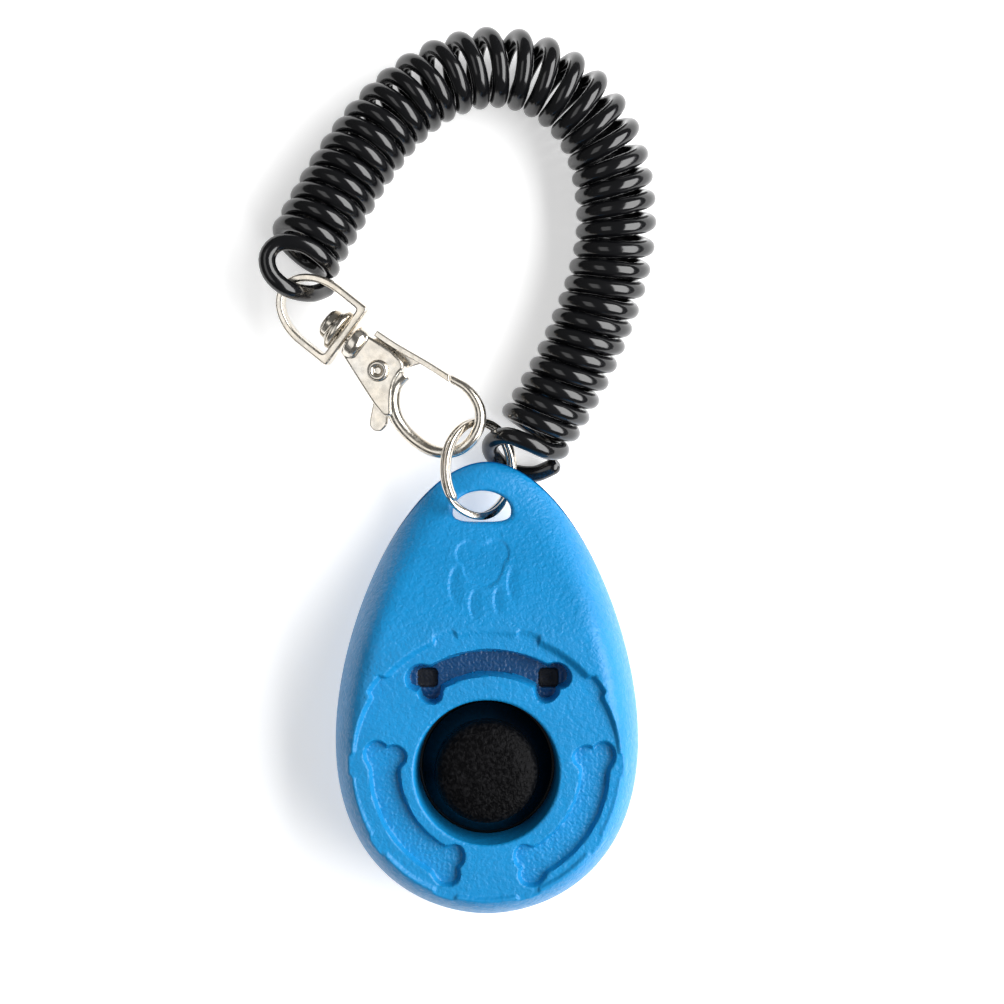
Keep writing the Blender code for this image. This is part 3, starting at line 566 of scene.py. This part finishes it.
def build_front_shell():
    """Lip, flat and flanks outside; then the joint, the cavity and the tube round the button."""
    rings = [ring_at(WELL_FOOT_RADIUS, WELL_FOOT_Z)]
    for turn in np.linspace(0, math.pi / 2, 7):
        radius = WELL_RADIUS + LIP_ROUND * (1 - math.cos(turn))
        rings.append(ring_at(radius, PLATEAU_Z - LIP_ROUND * (1 - math.sin(turn))))
    inner = np.arange(WELL_RADIUS + LIP_ROUND + RING_STEP, ROUND_FIELD, RING_STEP)
    shares = 1 - (1 - np.linspace(0, 1, FLANK_RINGS)) ** FLANK_CROWDING
    radii = [np.full(SPOKES, radius) for radius in inner]
    radii += [ROUND_FIELD + (RIM - ROUND_FIELD) * share for share in shares[:-1]]
    rings += surface_rings(radii, front_height)
    rings += seam_rings(PARTING_Z + SEAM, 1)

    def ceiling(x, y, full):
        return np.minimum(dome(x, y, full) - LEAST_CEILING, CEILING_Z)

    width = RIM - WALL - TUBE_RADIUS
    rings += surface_rings([TUBE_RADIUS + width * share for share in (0.93, 0.8, 0.6, 0.4, 0.2)], ceiling)
    rings.append(ring_at(TUBE_RADIUS, CEILING_Z))
    rings.append(ring_at(TUBE_RADIUS, WELL_FOOT_Z))
    shell = loft("front_shell_skin", rings, wrap=True, angle=50)
    return sharpen(boolean(shell, strap_hole_cutter()), 50)


def build_back_shell():
    """Underside from its middle out to the joint, then the inside back to the middle."""
    flat, edge = BACK_RINGS
    edge_shares = 1 - (1 - np.linspace(0.02, 1, edge)) ** BACK_CROWDING
    shares = list(np.linspace(0.01, BACK_FLAT_SHARE, flat))
    shares += list(BACK_FLAT_SHARE + (1 - BACK_FLAT_SHARE) * edge_shares)
    rings = surface_rings([RIM * share for share in shares[:-1]], back_surface)
    rings += seam_rings(PARTING_Z - SEAM, -1)

    def floor(x, y, full):
        return np.maximum(back(x, y, full) + WALL, FLOOR_Z)

    rings += surface_rings([(RIM - WALL) * share for share in (0.95, 0.8, 0.5, 0.2)], floor)
    shell = loft("back_shell_skin", rings, angle=50)
    return sharpen(boolean(shell, strap_hole_cutter()), 50)


# ---------------------------------------------------------------- button and screws

def build_button():
    """Sandy domed cap, then a glossy skirt that flares down to the flange."""
    outer = [(radius, BUTTON_TOP_Z - drop) for radius, drop in CAP] + list(SKIRT)
    outer_line = catmull([(radius, z, 0) for radius, z in outer], 5)[:, :2]
    profile = [tuple(p) for p in outer_line] + round_corners(FLANGE_AND_HOLLOW, 0.12, 2)
    button = lathe("button_cap", profile, 128, 40)
    button.data.transform(Matrix.Translation((0, CENTRE_Y * MM, 0)))
    return button


def build_housing_screw(place, x, y):
    """Pan head with a cross recess, seen from behind."""
    seat = SCREW_SEAT + float(back_level(y))
    profile = [(radius, seat + z) for radius, z in SCREW_HEAD] + list(SCREW_SHANK)
    screw = lathe("housing_screw_head_" + place, round_corners(profile, 0.06, 2), 48)
    slot_half = ((-1, -1), (1, -1), (1, 1), (-1, 1))
    outline = [(SLOT_HALF_LENGTH * u, SLOT_HALF_WIDTH * v) for u, v in slot_half]
    for turn in (0, 90):
        slot = bevelled_prism("slot", outline, seat - 1.0, seat - SLOT_FLOOR, 0.02, 1)
        slot.data.transform(Matrix.Rotation(math.radians(turn + SLOT_TURN), 4, "Z"))
        boolean(screw, slot)
    screw.data.transform(Matrix.Translation((x * MM, y * MM, 0)))
    return sharpen(screw, 30)


# ---------------------------------------------------------------- split ring

RING_CENTRE = (-1.05, 29.0, 7.9)
RING_TILT = 46.0
RING_RADIUS = 6.3
STRAND_RADIAL = 0.5
STRAND_AXIAL = 0.345
STRAND_OFFSET = 0.365
RING_SPLIT = 245.0        # degrees, where the two turns cross
RING_POINTS = 420
RING_END = 0.42           # radians from each free end to the crossing
RING_CROSSING = 0.76      # radians over which the wire changes sides


def build_split_ring():
    """Two flat turns of wire that change places at the split."""
    theta = np.linspace(RING_END, 4 * math.pi - RING_END, RING_POINTS)
    crossed = smooth_step((theta - 2 * math.pi) / RING_CROSSING + 0.5)
    lift = STRAND_OFFSET * (2 * crossed - 1)
    phase = theta + math.radians(RING_SPLIT)
    line = np.column_stack([RING_RADIUS * np.cos(phase), RING_RADIUS * np.sin(phase), lift])
    section = []
    for u, v in ellipse(1.0, 1.0, 20):
        grow = (abs(u) ** 3 + abs(v) ** 3) ** (-1 / 3)
        section.append((STRAND_RADIAL * u * grow, STRAND_AXIAL * v * grow))
    from_end = np.minimum(np.arange(RING_POINTS), np.arange(RING_POINTS)[::-1])
    taper = np.clip(from_end / 5 + 0.4, 0, 1)
    ring = sweep("split_ring_wire", line, section, up=(0.0, 0.0, 1.0), scale=taper)
    ring.data.transform(Matrix.Rotation(math.radians(RING_TILT), 4, "Y"))
    ring.data.transform(Matrix.Translation(Vector(RING_CENTRE) * MM))
    return ring


# ---------------------------------------------------------------- coil strap

WIRE_RADIUS = 1.15
COIL_RADIUS = 4.3
COIL_Z = 5.65
COIL_PITCH = 2.47         # along a straight stretch
COIL_TOUCH = 2.36         # least spacing, on the inner side of a bend
COIL_STEPS = 8            # points in each turn
COIL_LEAN = (1.2, 0.3)    # of the turns' tops along the line, at the eye and at the ring
COIL_YAW = (-0.15, 0.3)   # of the turns' right side along the line, likewise
COIL_LINE = (
    (-24.9, 57.6), (-21.3, 64.2), (-17.2, 70.9), (-12.3, 76.9), (-6.4, 81.2), (0.3, 83.0),
    (6.4, 82.0), (11.7, 78.6), (15.3, 73.5), (17.0, 67.3), (17.3, 60.7), (16.0, 54.1),
    (13.7, 47.7), (10.9, 41.6), (7.6, 35.9), (5.6, 32.8),
)
EYE_LOOP = (
    (-21.2, 54.1, 2.2), (-22.3, 53.2, 3.7), (-23.9, 52.5, 6.7), (-26.5, 52.9, 9.6),
    (-28.6, 54.8, 10.3), (-29.0, 57.2, 10.3), (-27.4, 58.9, 10.2),
)
RING_LOOP = (
    (8.0, 31.4, 8.7), (5.4, 32.5, 9.95), (2.7, 33.4, 9.4), (0.7, 32.8, 6.8), (0.6, 31.2, 3.6),
    (3.0, 28.9, 1.4), (6.1, 28.4, 1.4), (8.3, 29.1, 1.8), (9.6, 29.9, 2.3),
)


def coil_turns():
    """Key points along the coil, as in the CAD: turns touch on the inner side of each bend."""
    line = catmull([(x, y, 0.0) for x, y in COIL_LINE], 120)
    points = []
    phase = 0.0
    due = 0.0
    step = 2 * math.pi / COIL_STEPS
    up = np.array((0.0, 0.0, 1.0))
    for index, (before, here, after) in enumerate(zip(line, line[1:], line[2:])):
        first, second = here - before, after - here
        length = np.linalg.norm(second)
        bend = np.linalg.norm(np.cross(first / np.linalg.norm(first), second / length)) / length
        pitch = max(COIL_PITCH, COIL_TOUCH / (1 - bend * COIL_RADIUS))
        phase += length * 2 * math.pi / pitch
        lean, yaw = (low + (high - low) * index / len(line) for low, high in (COIL_LEAN, COIL_YAW))
        while phase >= due:
            along = second / length
            offset = np.cross(along, up) * math.sin(due) + up * math.cos(due)
            shift = along * (lean * math.cos(due) + yaw * math.sin(due))
            points.append(here + up * COIL_Z + offset * COIL_RADIUS + shift)
            due += step
    while round(due / step) % COIL_STEPS != COIL_STEPS - 1:
        points.pop()
        due -= step
    return points


def build_coil():
    """The coil between its two loops, with round ends to the wire."""
    keys = list(EYE_LOOP) + [tuple(p) for p in coil_turns()] + list(RING_LOOP)
    line = catmull(keys, 4)
    count = len(line)
    from_end = np.minimum(np.arange(count), np.arange(count)[::-1])
    scale = np.sqrt(1 - (1 - np.clip((from_end + 0.5) / 3, 0, 1)) ** 2)
    return sweep("coil_strap_wire", line, ellipse(WIRE_RADIUS, WIRE_RADIUS, 16), scale=scale)


# ---------------------------------------------------------------- snap hook, in its own frame

HOOK_ORIGIN = (-18.4, 46.5, 8.0)
HOOK_TURNS = (("Z", -38.5), ("Y", -6.0), ("X", 9.0))
HOOK = Matrix.Translation(Vector(HOOK_ORIGIN) * MM)
for axis, degrees in HOOK_TURNS:
    HOOK = HOOK @ Matrix.Rotation(math.radians(degrees), 4, axis)
ALONG_X = Matrix.Rotation(math.pi / 2, 4, "Y")

RIVET = (6.06, -0.87)
RIVET_BORE = 0.95
RIVET_POCKET = 1.85
STUD_BORE = 0.95
BODY_OUTLINE = (
    (0.9, 1.85), (2.4, 2.0), (6.0, 2.35), (7.9, 2.1), (8.6, 1.6), (8.45, 0.7), (8.6, -0.6), (9.1, -1.9),
    (10.2, -3.4), (11.1, -4.5), (10.3, -5.2), (8.2, -4.75), (4.8, -3.6), (1.4, -2.4), (0.9, -2.2),
)
BODY_HALF_DEPTH = 1.2
COLLAR = ((0.0, 0.45), (2.2, 0.45), (2.35, 0.7), (2.35, 1.7), (2.0, 2.3), (0.0, 2.3))
BOW_LINE = (
    (8.95, 0.9), (8.8, -0.6), (9.2, -2.0), (10.2, -3.4), (11.6, -4.45), (13.4, -5.05), (15.4, -5.25),
    (17.3, -5.1), (18.8, -4.6), (20.0, -3.75), (20.9, -2.6), (21.38, -1.2), (21.4, 0.4), (21.0, 1.9),
    (20.1, 3.1), (19.0, 3.85), (17.7, 4.3), (16.4, 4.45), (15.2, 4.3), (14.1, 4.1),
)
BOW_SECTION = (0.78, 0.84)
BOW_SWELL = 0.28          # the bow is this much stouter where it leaves the body
NOSE_TAPER = 0.3          # and this much slimmer at the nose
NOSE_CUT = ((12.0, 6.2), (13.27, 6.2), (14.86, 3.2), (12.0, 3.2))
LEVER_Z = (-2.4, -1.5)
LEVER_OUTLINE = (
    (2.2, 2.6), (2.9, 1.6), (4.0, -0.2), (4.6, -2.2), (7.3, -4.5), (8.5, -7.0), (9.1, -7.9), (10.0, -8.05),
    (10.8, -7.5), (10.95, -6.3), (9.3, -3.6), (8.0, -0.6), (8.3, 1.2), (9.8, 3.3), (6.0, 3.0),
)
GATE_LINE = ((2.6, 2.78), (6.0, 3.08), (10.5, 3.72), (14.2, 4.1))
GATE_TIP_SLANT = 0.22
GATE_HALF_WIDTH = 0.42
GATE_Z = (-2.2, 0.75)
GATE_BORE = 0.9
RIVET_TOP = 1.35
RIVET_FOOT = -2.55

# Swivel eye: its straight side, and the bow whose middle lies beyond it
EYE_HALF_WIDTH = 4.3
EYE_STRAIGHT = 4.8
EYE_BOW = 6.2
EYE_STRIP = 1.0
EYE_PLATE = 1.2           # thickness of the straight side
EYE_HALF_HEIGHT = 1.15
EYE_EDGE = 0.28
EYE_BORE = 0.9
STUD_HEAD = -1.35


def in_hook(obj):
    """From the hook's own frame to the CAD's."""
    obj.data.transform(HOOK)
    return obj


def at_rivet(obj):
    obj.data.transform(Matrix.Translation((RIVET[0] * MM, RIVET[1] * MM, 0)))
    return obj


def along_x(obj):
    obj.data.transform(ALONG_X)
    return obj


def build_clasp_body():
    """Cast body: plate, collar and bow blended together, then pierced."""
    outline = round_corners(BODY_OUTLINE, 0.4, 4, True)
    plate = bevelled_prism("clasp_body_cast", outline, -BODY_HALF_DEPTH, BODY_HALF_DEPTH, 0.3)
    line = catmull([(x, y, 0.0) for x, y in BOW_LINE], 6)
    along = np.linspace(0, 1, len(line))
    swell = 1 + BOW_SWELL * (1 - smooth_step(along / 0.6)) - NOSE_TAPER * smooth_step((along - 0.7) / 0.28)
    bow = sweep("bow", line, ellipse(*BOW_SECTION, 24), up=(0.0, 0.0, 1.0), scale=swell)
    boolean(bow, bevelled_prism("nose_cutter", NOSE_CUT, -3.0, 3.0, 0.01, 1))
    collar = along_x(lathe("collar", round_corners(COLLAR, 0.15, 3), 64))
    body = remesh(join(plate, bow, collar), 0.1, 4)
    boolean(body, at_rivet(bar("pocket", RIVET_POCKET, 0.0, -3.0, 48)))
    boolean(body, at_rivet(bar("bore", RIVET_BORE, 3.0, -3.0, 48)))
    boolean(body, along_x(bar("shaft", STUD_BORE, 2.4, -0.2, 32)))
    return in_hook(sharpen(body, 45))


def build_clasp_gate():
    """Thumb lever under the body, and the arm that closes the bow."""
    lever_outline = round_corners(LEVER_OUTLINE, 0.35, 4, True)
    lever = bevelled_prism("clasp_gate_lever", lever_outline, *LEVER_Z, 0.18)
    line = catmull([(x, y, 0.0) for x, y in GATE_LINE], 5)[:, :2]
    outer = [(x, y + GATE_HALF_WIDTH) for x, y in line]
    inner = [(x, y - GATE_HALF_WIDTH) for x, y in line]
    outer[-1] = (outer[-1][0] - GATE_TIP_SLANT, outer[-1][1])
    inner[-1] = (inner[-1][0] + GATE_TIP_SLANT, inner[-1][1])
    arm = bevelled_prism("arm", round_corners(outer + inner[::-1], 0.12, 3, True), *GATE_Z, 0.14)
    gate = remesh(join(lever, arm), 0.08, 3)
    boolean(gate, at_rivet(bar("bore", GATE_BORE, 3.0, -4.0, 48)))
    return in_hook(sharpen(gate, 45))


def build_gate_rivet():
    """Tubular rivet, with the rolled rim and the dimple in its middle."""
    rim = [(0.0, -0.05), (0.45, -0.05), (0.62, 0.2), (0.8, 0.4), (1.05, 0.46), (1.3, 0.36), (1.45, 0.12),
           (1.45, 0.0), (0.8, 0.0)]
    tail = [(0.8, 0.0), (1.3, 0.0), (1.3, -0.25), (0.9, -0.45), (0.0, -0.45)]
    profile = [(radius, RIVET_TOP + z) for radius, z in rim]
    profile += [(radius, RIVET_FOOT + z) for radius, z in tail]
    return in_hook(at_rivet(lathe("gate_rivet_head", round_corners(profile, 0.08, 3), 64)))


def eye_outline(shrink, plate):
    """A D round the strap's loop, moved in by shrink and by plate at its straight side."""
    half = EYE_HALF_WIDTH + EYE_STRIP / 2 - shrink
    reach_out = EYE_BOW + EYE_STRIP / 2 - shrink
    loop = [(-plate, -half), (-plate, half)]
    for turn in np.linspace(math.pi / 2, math.pi * 1.5, 33):
        loop.append((reach_out * math.cos(turn) - EYE_STRAIGHT, half * math.sin(turn)))
    return round_corners(loop, 0.5, 4, True)


def build_swivel_eye():
    """Flat strip bent to a D; the stud passes through its straight side."""
    rings = []
    for loop, sense in ((eye_outline(0.0, 0.0), 1), (eye_outline(EYE_STRIP, EYE_PLATE), -1)):
        lower, upper = [], []
        for turn in np.linspace(0, math.pi / 2, 5):
            level = inset(loop, sense * EYE_EDGE * (1 - math.sin(turn)))
            drop = np.full(len(level), EYE_HALF_HEIGHT - EYE_EDGE + EYE_EDGE * math.cos(turn))
            lower.append(np.column_stack([level, -drop]))
            upper.append(np.column_stack([level, drop]))
        rings += (lower + upper[::-1])[::sense]
    eye = loft("swivel_eye_strip", rings, wrap=True)
    boolean(eye, along_x(bar("hole", EYE_BORE, 1.0, -2.0, 32)))
    return in_hook(sharpen(eye, 40))


def build_swivel_stud():
    """Shank through the eye, with the stepped head inside it."""
    steps = [(0.8, 0.0), (2.9, 0.0), (2.95, -0.5), (2.5, -0.95), (2.2, -1.2), (2.1, -2.0), (1.6, -2.5),
             (0.0, -2.6)]
    profile = [(0.0, 2.0), (0.8, 2.0)] + [(radius, STUD_HEAD + z) for radius, z in steps]
    return in_hook(along_x(lathe("swivel_stud_head", round_corners(profile, 0.16, 3), 64)))


# ---------------------------------------------------------------- materials

FLOOR_GLOW = 0.45         # keeps the floor white round the object's shadow


class Nodes:
    """Short hand for building one material's node tree."""

    def __init__(self, name, colour, roughness, metallic=0.0, **sockets):
        self.material = bpy.data.materials.new(name)
        self.material.use_nodes = True
        self.tree = self.material.node_tree
        self.shader = self.tree.nodes["Principled BSDF"]
        self.shader.inputs["Base Color"].default_value = (*colour, 1.0)
        self.shader.inputs["Roughness"].default_value = roughness
        self.shader.inputs["Metallic"].default_value = metallic
        for socket, value in sockets.items():
            self.shader.inputs[socket.replace("_", " ")].default_value = value
        self.place = self.tree.nodes.new("ShaderNodeTexCoord").outputs["Object"]

    def link(self, a, b):
        self.tree.links.new(a, b)

    def noise(self, scale, detail=3.0, rough=0.5, distortion=0.0):
        node = self.tree.nodes.new("ShaderNodeTexNoise")
        node.inputs["Scale"].default_value = scale
        node.inputs["Detail"].default_value = detail
        node.inputs["Roughness"].default_value = rough
        node.inputs["Distortion"].default_value = distortion
        self.link(self.place, node.inputs["Vector"])
        return node.outputs["Fac"]

    def ramp(self, value, *stops):
        node = self.tree.nodes.new("ShaderNodeValToRGB")
        while len(node.color_ramp.elements) < len(stops):
            node.color_ramp.elements.new(0.5)
        for element, (position, colour) in zip(node.color_ramp.elements, stops):
            element.position = position
            element.color = (*colour, 1.0)
        self.link(value, node.inputs["Fac"])
        return node.outputs["Color"]

    def spread(self, value, low, high, start=0.3, end=0.7):
        node = self.tree.nodes.new("ShaderNodeMapRange")
        node.inputs["From Min"].default_value = start
        node.inputs["From Max"].default_value = end
        node.inputs["To Min"].default_value = low
        node.inputs["To Max"].default_value = high
        self.link(value, node.inputs["Value"])
        return node.outputs["Result"]

    def bump(self, height, strength, distance, normal=None):
        node = self.tree.nodes.new("ShaderNodeBump")
        node.inputs["Strength"].default_value = strength
        node.inputs["Distance"].default_value = distance * MM
        self.link(height, node.inputs["Height"])
        if normal is not None:
            self.link(normal, node.inputs["Normal"])
        return node.outputs["Normal"]

    def colour(self, socket):
        self.link(socket, self.shader.inputs["Base Color"])

    def roughness(self, socket):
        self.link(socket, self.shader.inputs["Roughness"])

    def normal(self, socket):
        self.link(socket, self.shader.inputs["Normal"])


def blue_plastic(name, colour):
    """Moulded plastic with a fine spark-eroded grain."""
    made = Nodes(name, colour, 0.4, Specular_IOR_Level=0.4)
    dark, light = (tuple(c * s for c in colour) for s in (0.95, 1.05))
    made.colour(made.ramp(made.noise(160, 2), (0.3, dark), (0.7, light)))
    made.roughness(made.spread(made.noise(1500, 2), 0.33, 0.48))
    fine = made.bump(made.noise(3000, 2, 0.5, 0.4), 0.5, 0.08)
    made.normal(made.bump(made.noise(1500, 2, 0.5, 0.3), 0.6, 0.2, fine))
    return made.material


# Near-black painted shade for the ports' shallow pockets, standing for the unlit inside of openings into
# the housing
def port_painted_shade():
    made = Nodes("port_painted_shade", (0.004, 0.006, 0.012), 0.7)
    made.roughness(made.spread(made.noise(800, 2), 0.6, 0.8))
    return made.material


def cap_black():
    """Sand-textured cap."""
    made = Nodes("cap_black_sand", (0.003, 0.003, 0.0035), 0.5, Specular_IOR_Level=0.06)
    grain = made.noise(1900, 2, 0.55, 0.3)
    made.colour(made.ramp(grain, (0.45, (0.0012, 0.0012, 0.0016)), (0.75, (0.01, 0.01, 0.011))))
    made.roughness(made.spread(grain, 0.42, 0.6))
    made.normal(made.bump(grain, 0.8, 0.3))
    return made.material


def gloss_black(name, roughness):
    made = Nodes(name, (0.004, 0.0042, 0.005), roughness, IOR=1.55)
    made.roughness(made.spread(made.noise(420, 2), roughness * 0.8, roughness * 1.4))
    made.normal(made.bump(made.noise(260, 2), 0.12, 0.12))
    return made.material


def nickel(name, colour, roughness):
    """Bright plating over a cast or drawn part, a little wavy and with fine wear."""
    made = Nodes(name, colour, roughness, 1.0)
    warm = tuple(c * s for c, s in zip(colour, (1.0, 0.96, 0.9)))
    made.colour(made.ramp(made.noise(300, 3), (0.35, warm), (0.7, colour)))
    made.roughness(made.spread(made.noise(1100, 3), roughness * 0.7, roughness * 1.6))
    made.normal(made.bump(made.noise(420, 2), 0.16, 0.1))
    return made.material


def steel():
    made = Nodes("spring_steel_satin", (0.56, 0.57, 0.59), 0.34, 1.0)
    made.roughness(made.spread(made.noise(900, 3), 0.25, 0.45))
    made.normal(made.bump(made.noise(2200, 2), 0.2, 0.02))
    return made.material


def floor_material():
    glow = {"Emission_Color": (1.0, 1.0, 1.0, 1.0), "Emission_Strength": FLOOR_GLOW}
    made = Nodes("studio_floor", (0.93, 0.93, 0.93), 0.9, **glow)
    made.roughness(made.spread(made.noise(30, 2), 0.85, 0.95))
    return made.material


# ---------------------------------------------------------------- assembly

def dress(obj, *materials):
    """Give obj these materials in place of its own."""
    obj.data.materials.clear()
    for material in materials:
        obj.data.materials.append(material)
    return obj


def place(obj, body, slot, *nodes):
    """Hang obj on its body and hide the CAD nodes that it stands for; slot is not used."""
    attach(obj, body)
    if nodes:
        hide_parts(*nodes)


def paint_by(obj, test, index):
    """Another of the object's materials on the faces whose centre, in millimetres, passes the test."""
    for polygon in obj.data.polygons:
        if test(polygon.center / MM):
            polygon.material_index = index


# Limits for painting faces by their centres
CAVITY_SLACK = 0.1        # above the ceiling, below which the faces are inside the housing
FLOOR_SLACK = 0.12        # above the deep floor, for the lumps on it
PORT_SLACK = 0.15         # below the deep floor, where a port's own faces start
OUTLINE_SLACK = 0.3


def in_shaded_bone_floor(centre):
    """The floor of the recess beside the strap's end of the well, and what lies below it: the faces that
    get the darker blue of painted shade.
    """
    if not CEILING_Z + CAVITY_SLACK < centre.z < DEEP_FLOOR_Z + FLOOR_SLACK:
        return False
    middle, _, shaft = BONES[0]
    return bone_gap(centre.x, centre.y, middle, shaft) < OUTLINE_SLACK


def in_port(centre):
    """The floor and walls of a port, painted near-black as painted shade for the dark inside of an opening.
    """
    if not CEILING_Z + CAVITY_SLACK < centre.z < DEEP_FLOOR_Z - PORT_SLACK:
        return False
    return any(port_gap(centre.x - x, centre.y - y) < OUTLINE_SLACK for x, y in PORTS)


def on_skirt(centre):
    return centre.z < SKIRT_TOP_Z


def build_pieces():
    blue = blue_plastic("blue_plastic_grain", (0.004, 0.225, 0.52))
    # A darker copy of the same blue, painted on the deep recess's floor as painted shade; the plastic there
    # is no darker
    shaded_blue = blue_plastic("blue_plastic_painted_shade", (0.002, 0.06, 0.17))
    bright = nickel("nickel_plate_bright", (0.74, 0.705, 0.645), 0.2)
    wire = nickel("nickel_wire", (0.72, 0.68, 0.62), 0.16)
    metal = steel()
    skirt = gloss_black("button_skirt_gloss", 0.16)

    front = dress(build_front_shell(), blue, shaded_blue, port_painted_shade())
    # Painted shade: the deep recess's floor gets the darker blue
    paint_by(front, in_shaded_bone_floor, 1)
    # Painted shade: the ports' pockets are painted near-black
    paint_by(front, in_port, 2)
    place(front, "clicker", "blue_plastic", "front_shell")
    back_shell = dress(build_back_shell(), blue)
    place(back_shell, "clicker", "blue_plastic", "back_shell")

    button = dress(build_button(), cap_black(), skirt)
    paint_by(button, on_skirt, 1)
    place(button, "button", "black_plastic", "button")

    for name, (x, y) in SCREW_PLACES.items():
        screw = dress(build_housing_screw(name, x, y), metal)
        place(screw, "clicker", "spring_steel", "housing_screw_" + name)

    place(dress(build_split_ring(), wire), "ring", "nickel_plate", "split_ring")
    place(dress(build_coil(), gloss_black("coil_gloss_black", 0.13)), "strap", "coil_plastic", "coil_strap")
    place(dress(build_swivel_eye(), bright), "strap", "nickel_plate", "swivel_eye")
    place(dress(build_swivel_stud(), bright), "hook", "nickel_plate", "swivel_stud")
    place(dress(build_clasp_body(), bright), "hook", "nickel_plate", "clasp_body")
    place(dress(build_gate_rivet(), bright), "hook", "nickel_plate", "gate_rivet")
    place(dress(build_clasp_gate(), bright), "gate", "nickel_plate", "clasp_gate")

    for node in ("snap_plate", "plate_clamp", "clamp_screw_left", "clamp_screw_right", "gate_spring"):
        dress(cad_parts[node], metal)


# ---------------------------------------------------------------- studio

FLOOR_HALF = 900.0
SENSOR = 36.0
LOOK_AT = (2.0, 24.6)
FRAME_WIDTH = 134.5
CAMERA_HEIGHT = 280.0     # above the joint between the shells
LIT_POINT = (0.0, 30.0, 5.0)
WORLD_LIGHT = 0.12
# Each softbox: its middle, width, length and power in watts
SOFTBOXES = (
    ("key", (335.0, 50.0, 300.0), 330.0, 680.0, 4.8),
    ("left_strip", (-245.0, 20.0, 425.0), 220.0, 450.0, 0.38),
)


def build_studio():
    corners = [(u * FLOOR_HALF, v * FLOOR_HALF, 0) for u, v in ((-1, -1), (1, -1), (1, 1), (-1, 1))]
    floor = make_object("floor", corners, [(0, 1, 2, 3)])
    floor.data.materials.append(floor_material())

    world = bpy.data.worlds.new("studio")
    world.use_nodes = True
    sky = world.node_tree.nodes["Background"]
    sky.inputs["Color"].default_value = (1.0, 1.0, 1.0, 1.0)
    sky.inputs["Strength"].default_value = WORLD_LIGHT
    bpy.context.scene.world = world
    bpy.context.scene.view_settings.view_transform = "Standard"

    for name, spot, width, length, power in SOFTBOXES:
        lamp = bpy.data.lights.new(name, "AREA")
        lamp.shape = "RECTANGLE"
        lamp.size = length * MM
        lamp.size_y = width * MM
        lamp.energy = power
        holder = bpy.data.objects.new(name, lamp)
        holder.location = Vector(spot) * MM
        holder.rotation_euler = (Vector(spot) - Vector(LIT_POINT)).to_track_quat("Z", "Y").to_euler()
        bpy.context.scene.collection.objects.link(holder)

    data = bpy.data.cameras.new("camera")
    data.sensor_width = SENSOR
    data.lens = SENSOR * CAMERA_HEIGHT / FRAME_WIDTH
    data.clip_end = 20.0
    camera = bpy.data.objects.new("camera", data)
    camera.location = Vector((*LOOK_AT, CAMERA_HEIGHT + PARTING_Z)) * MM
    bpy.context.scene.collection.objects.link(camera)
    bpy.context.scene.camera = camera


build_pieces()
build_studio()
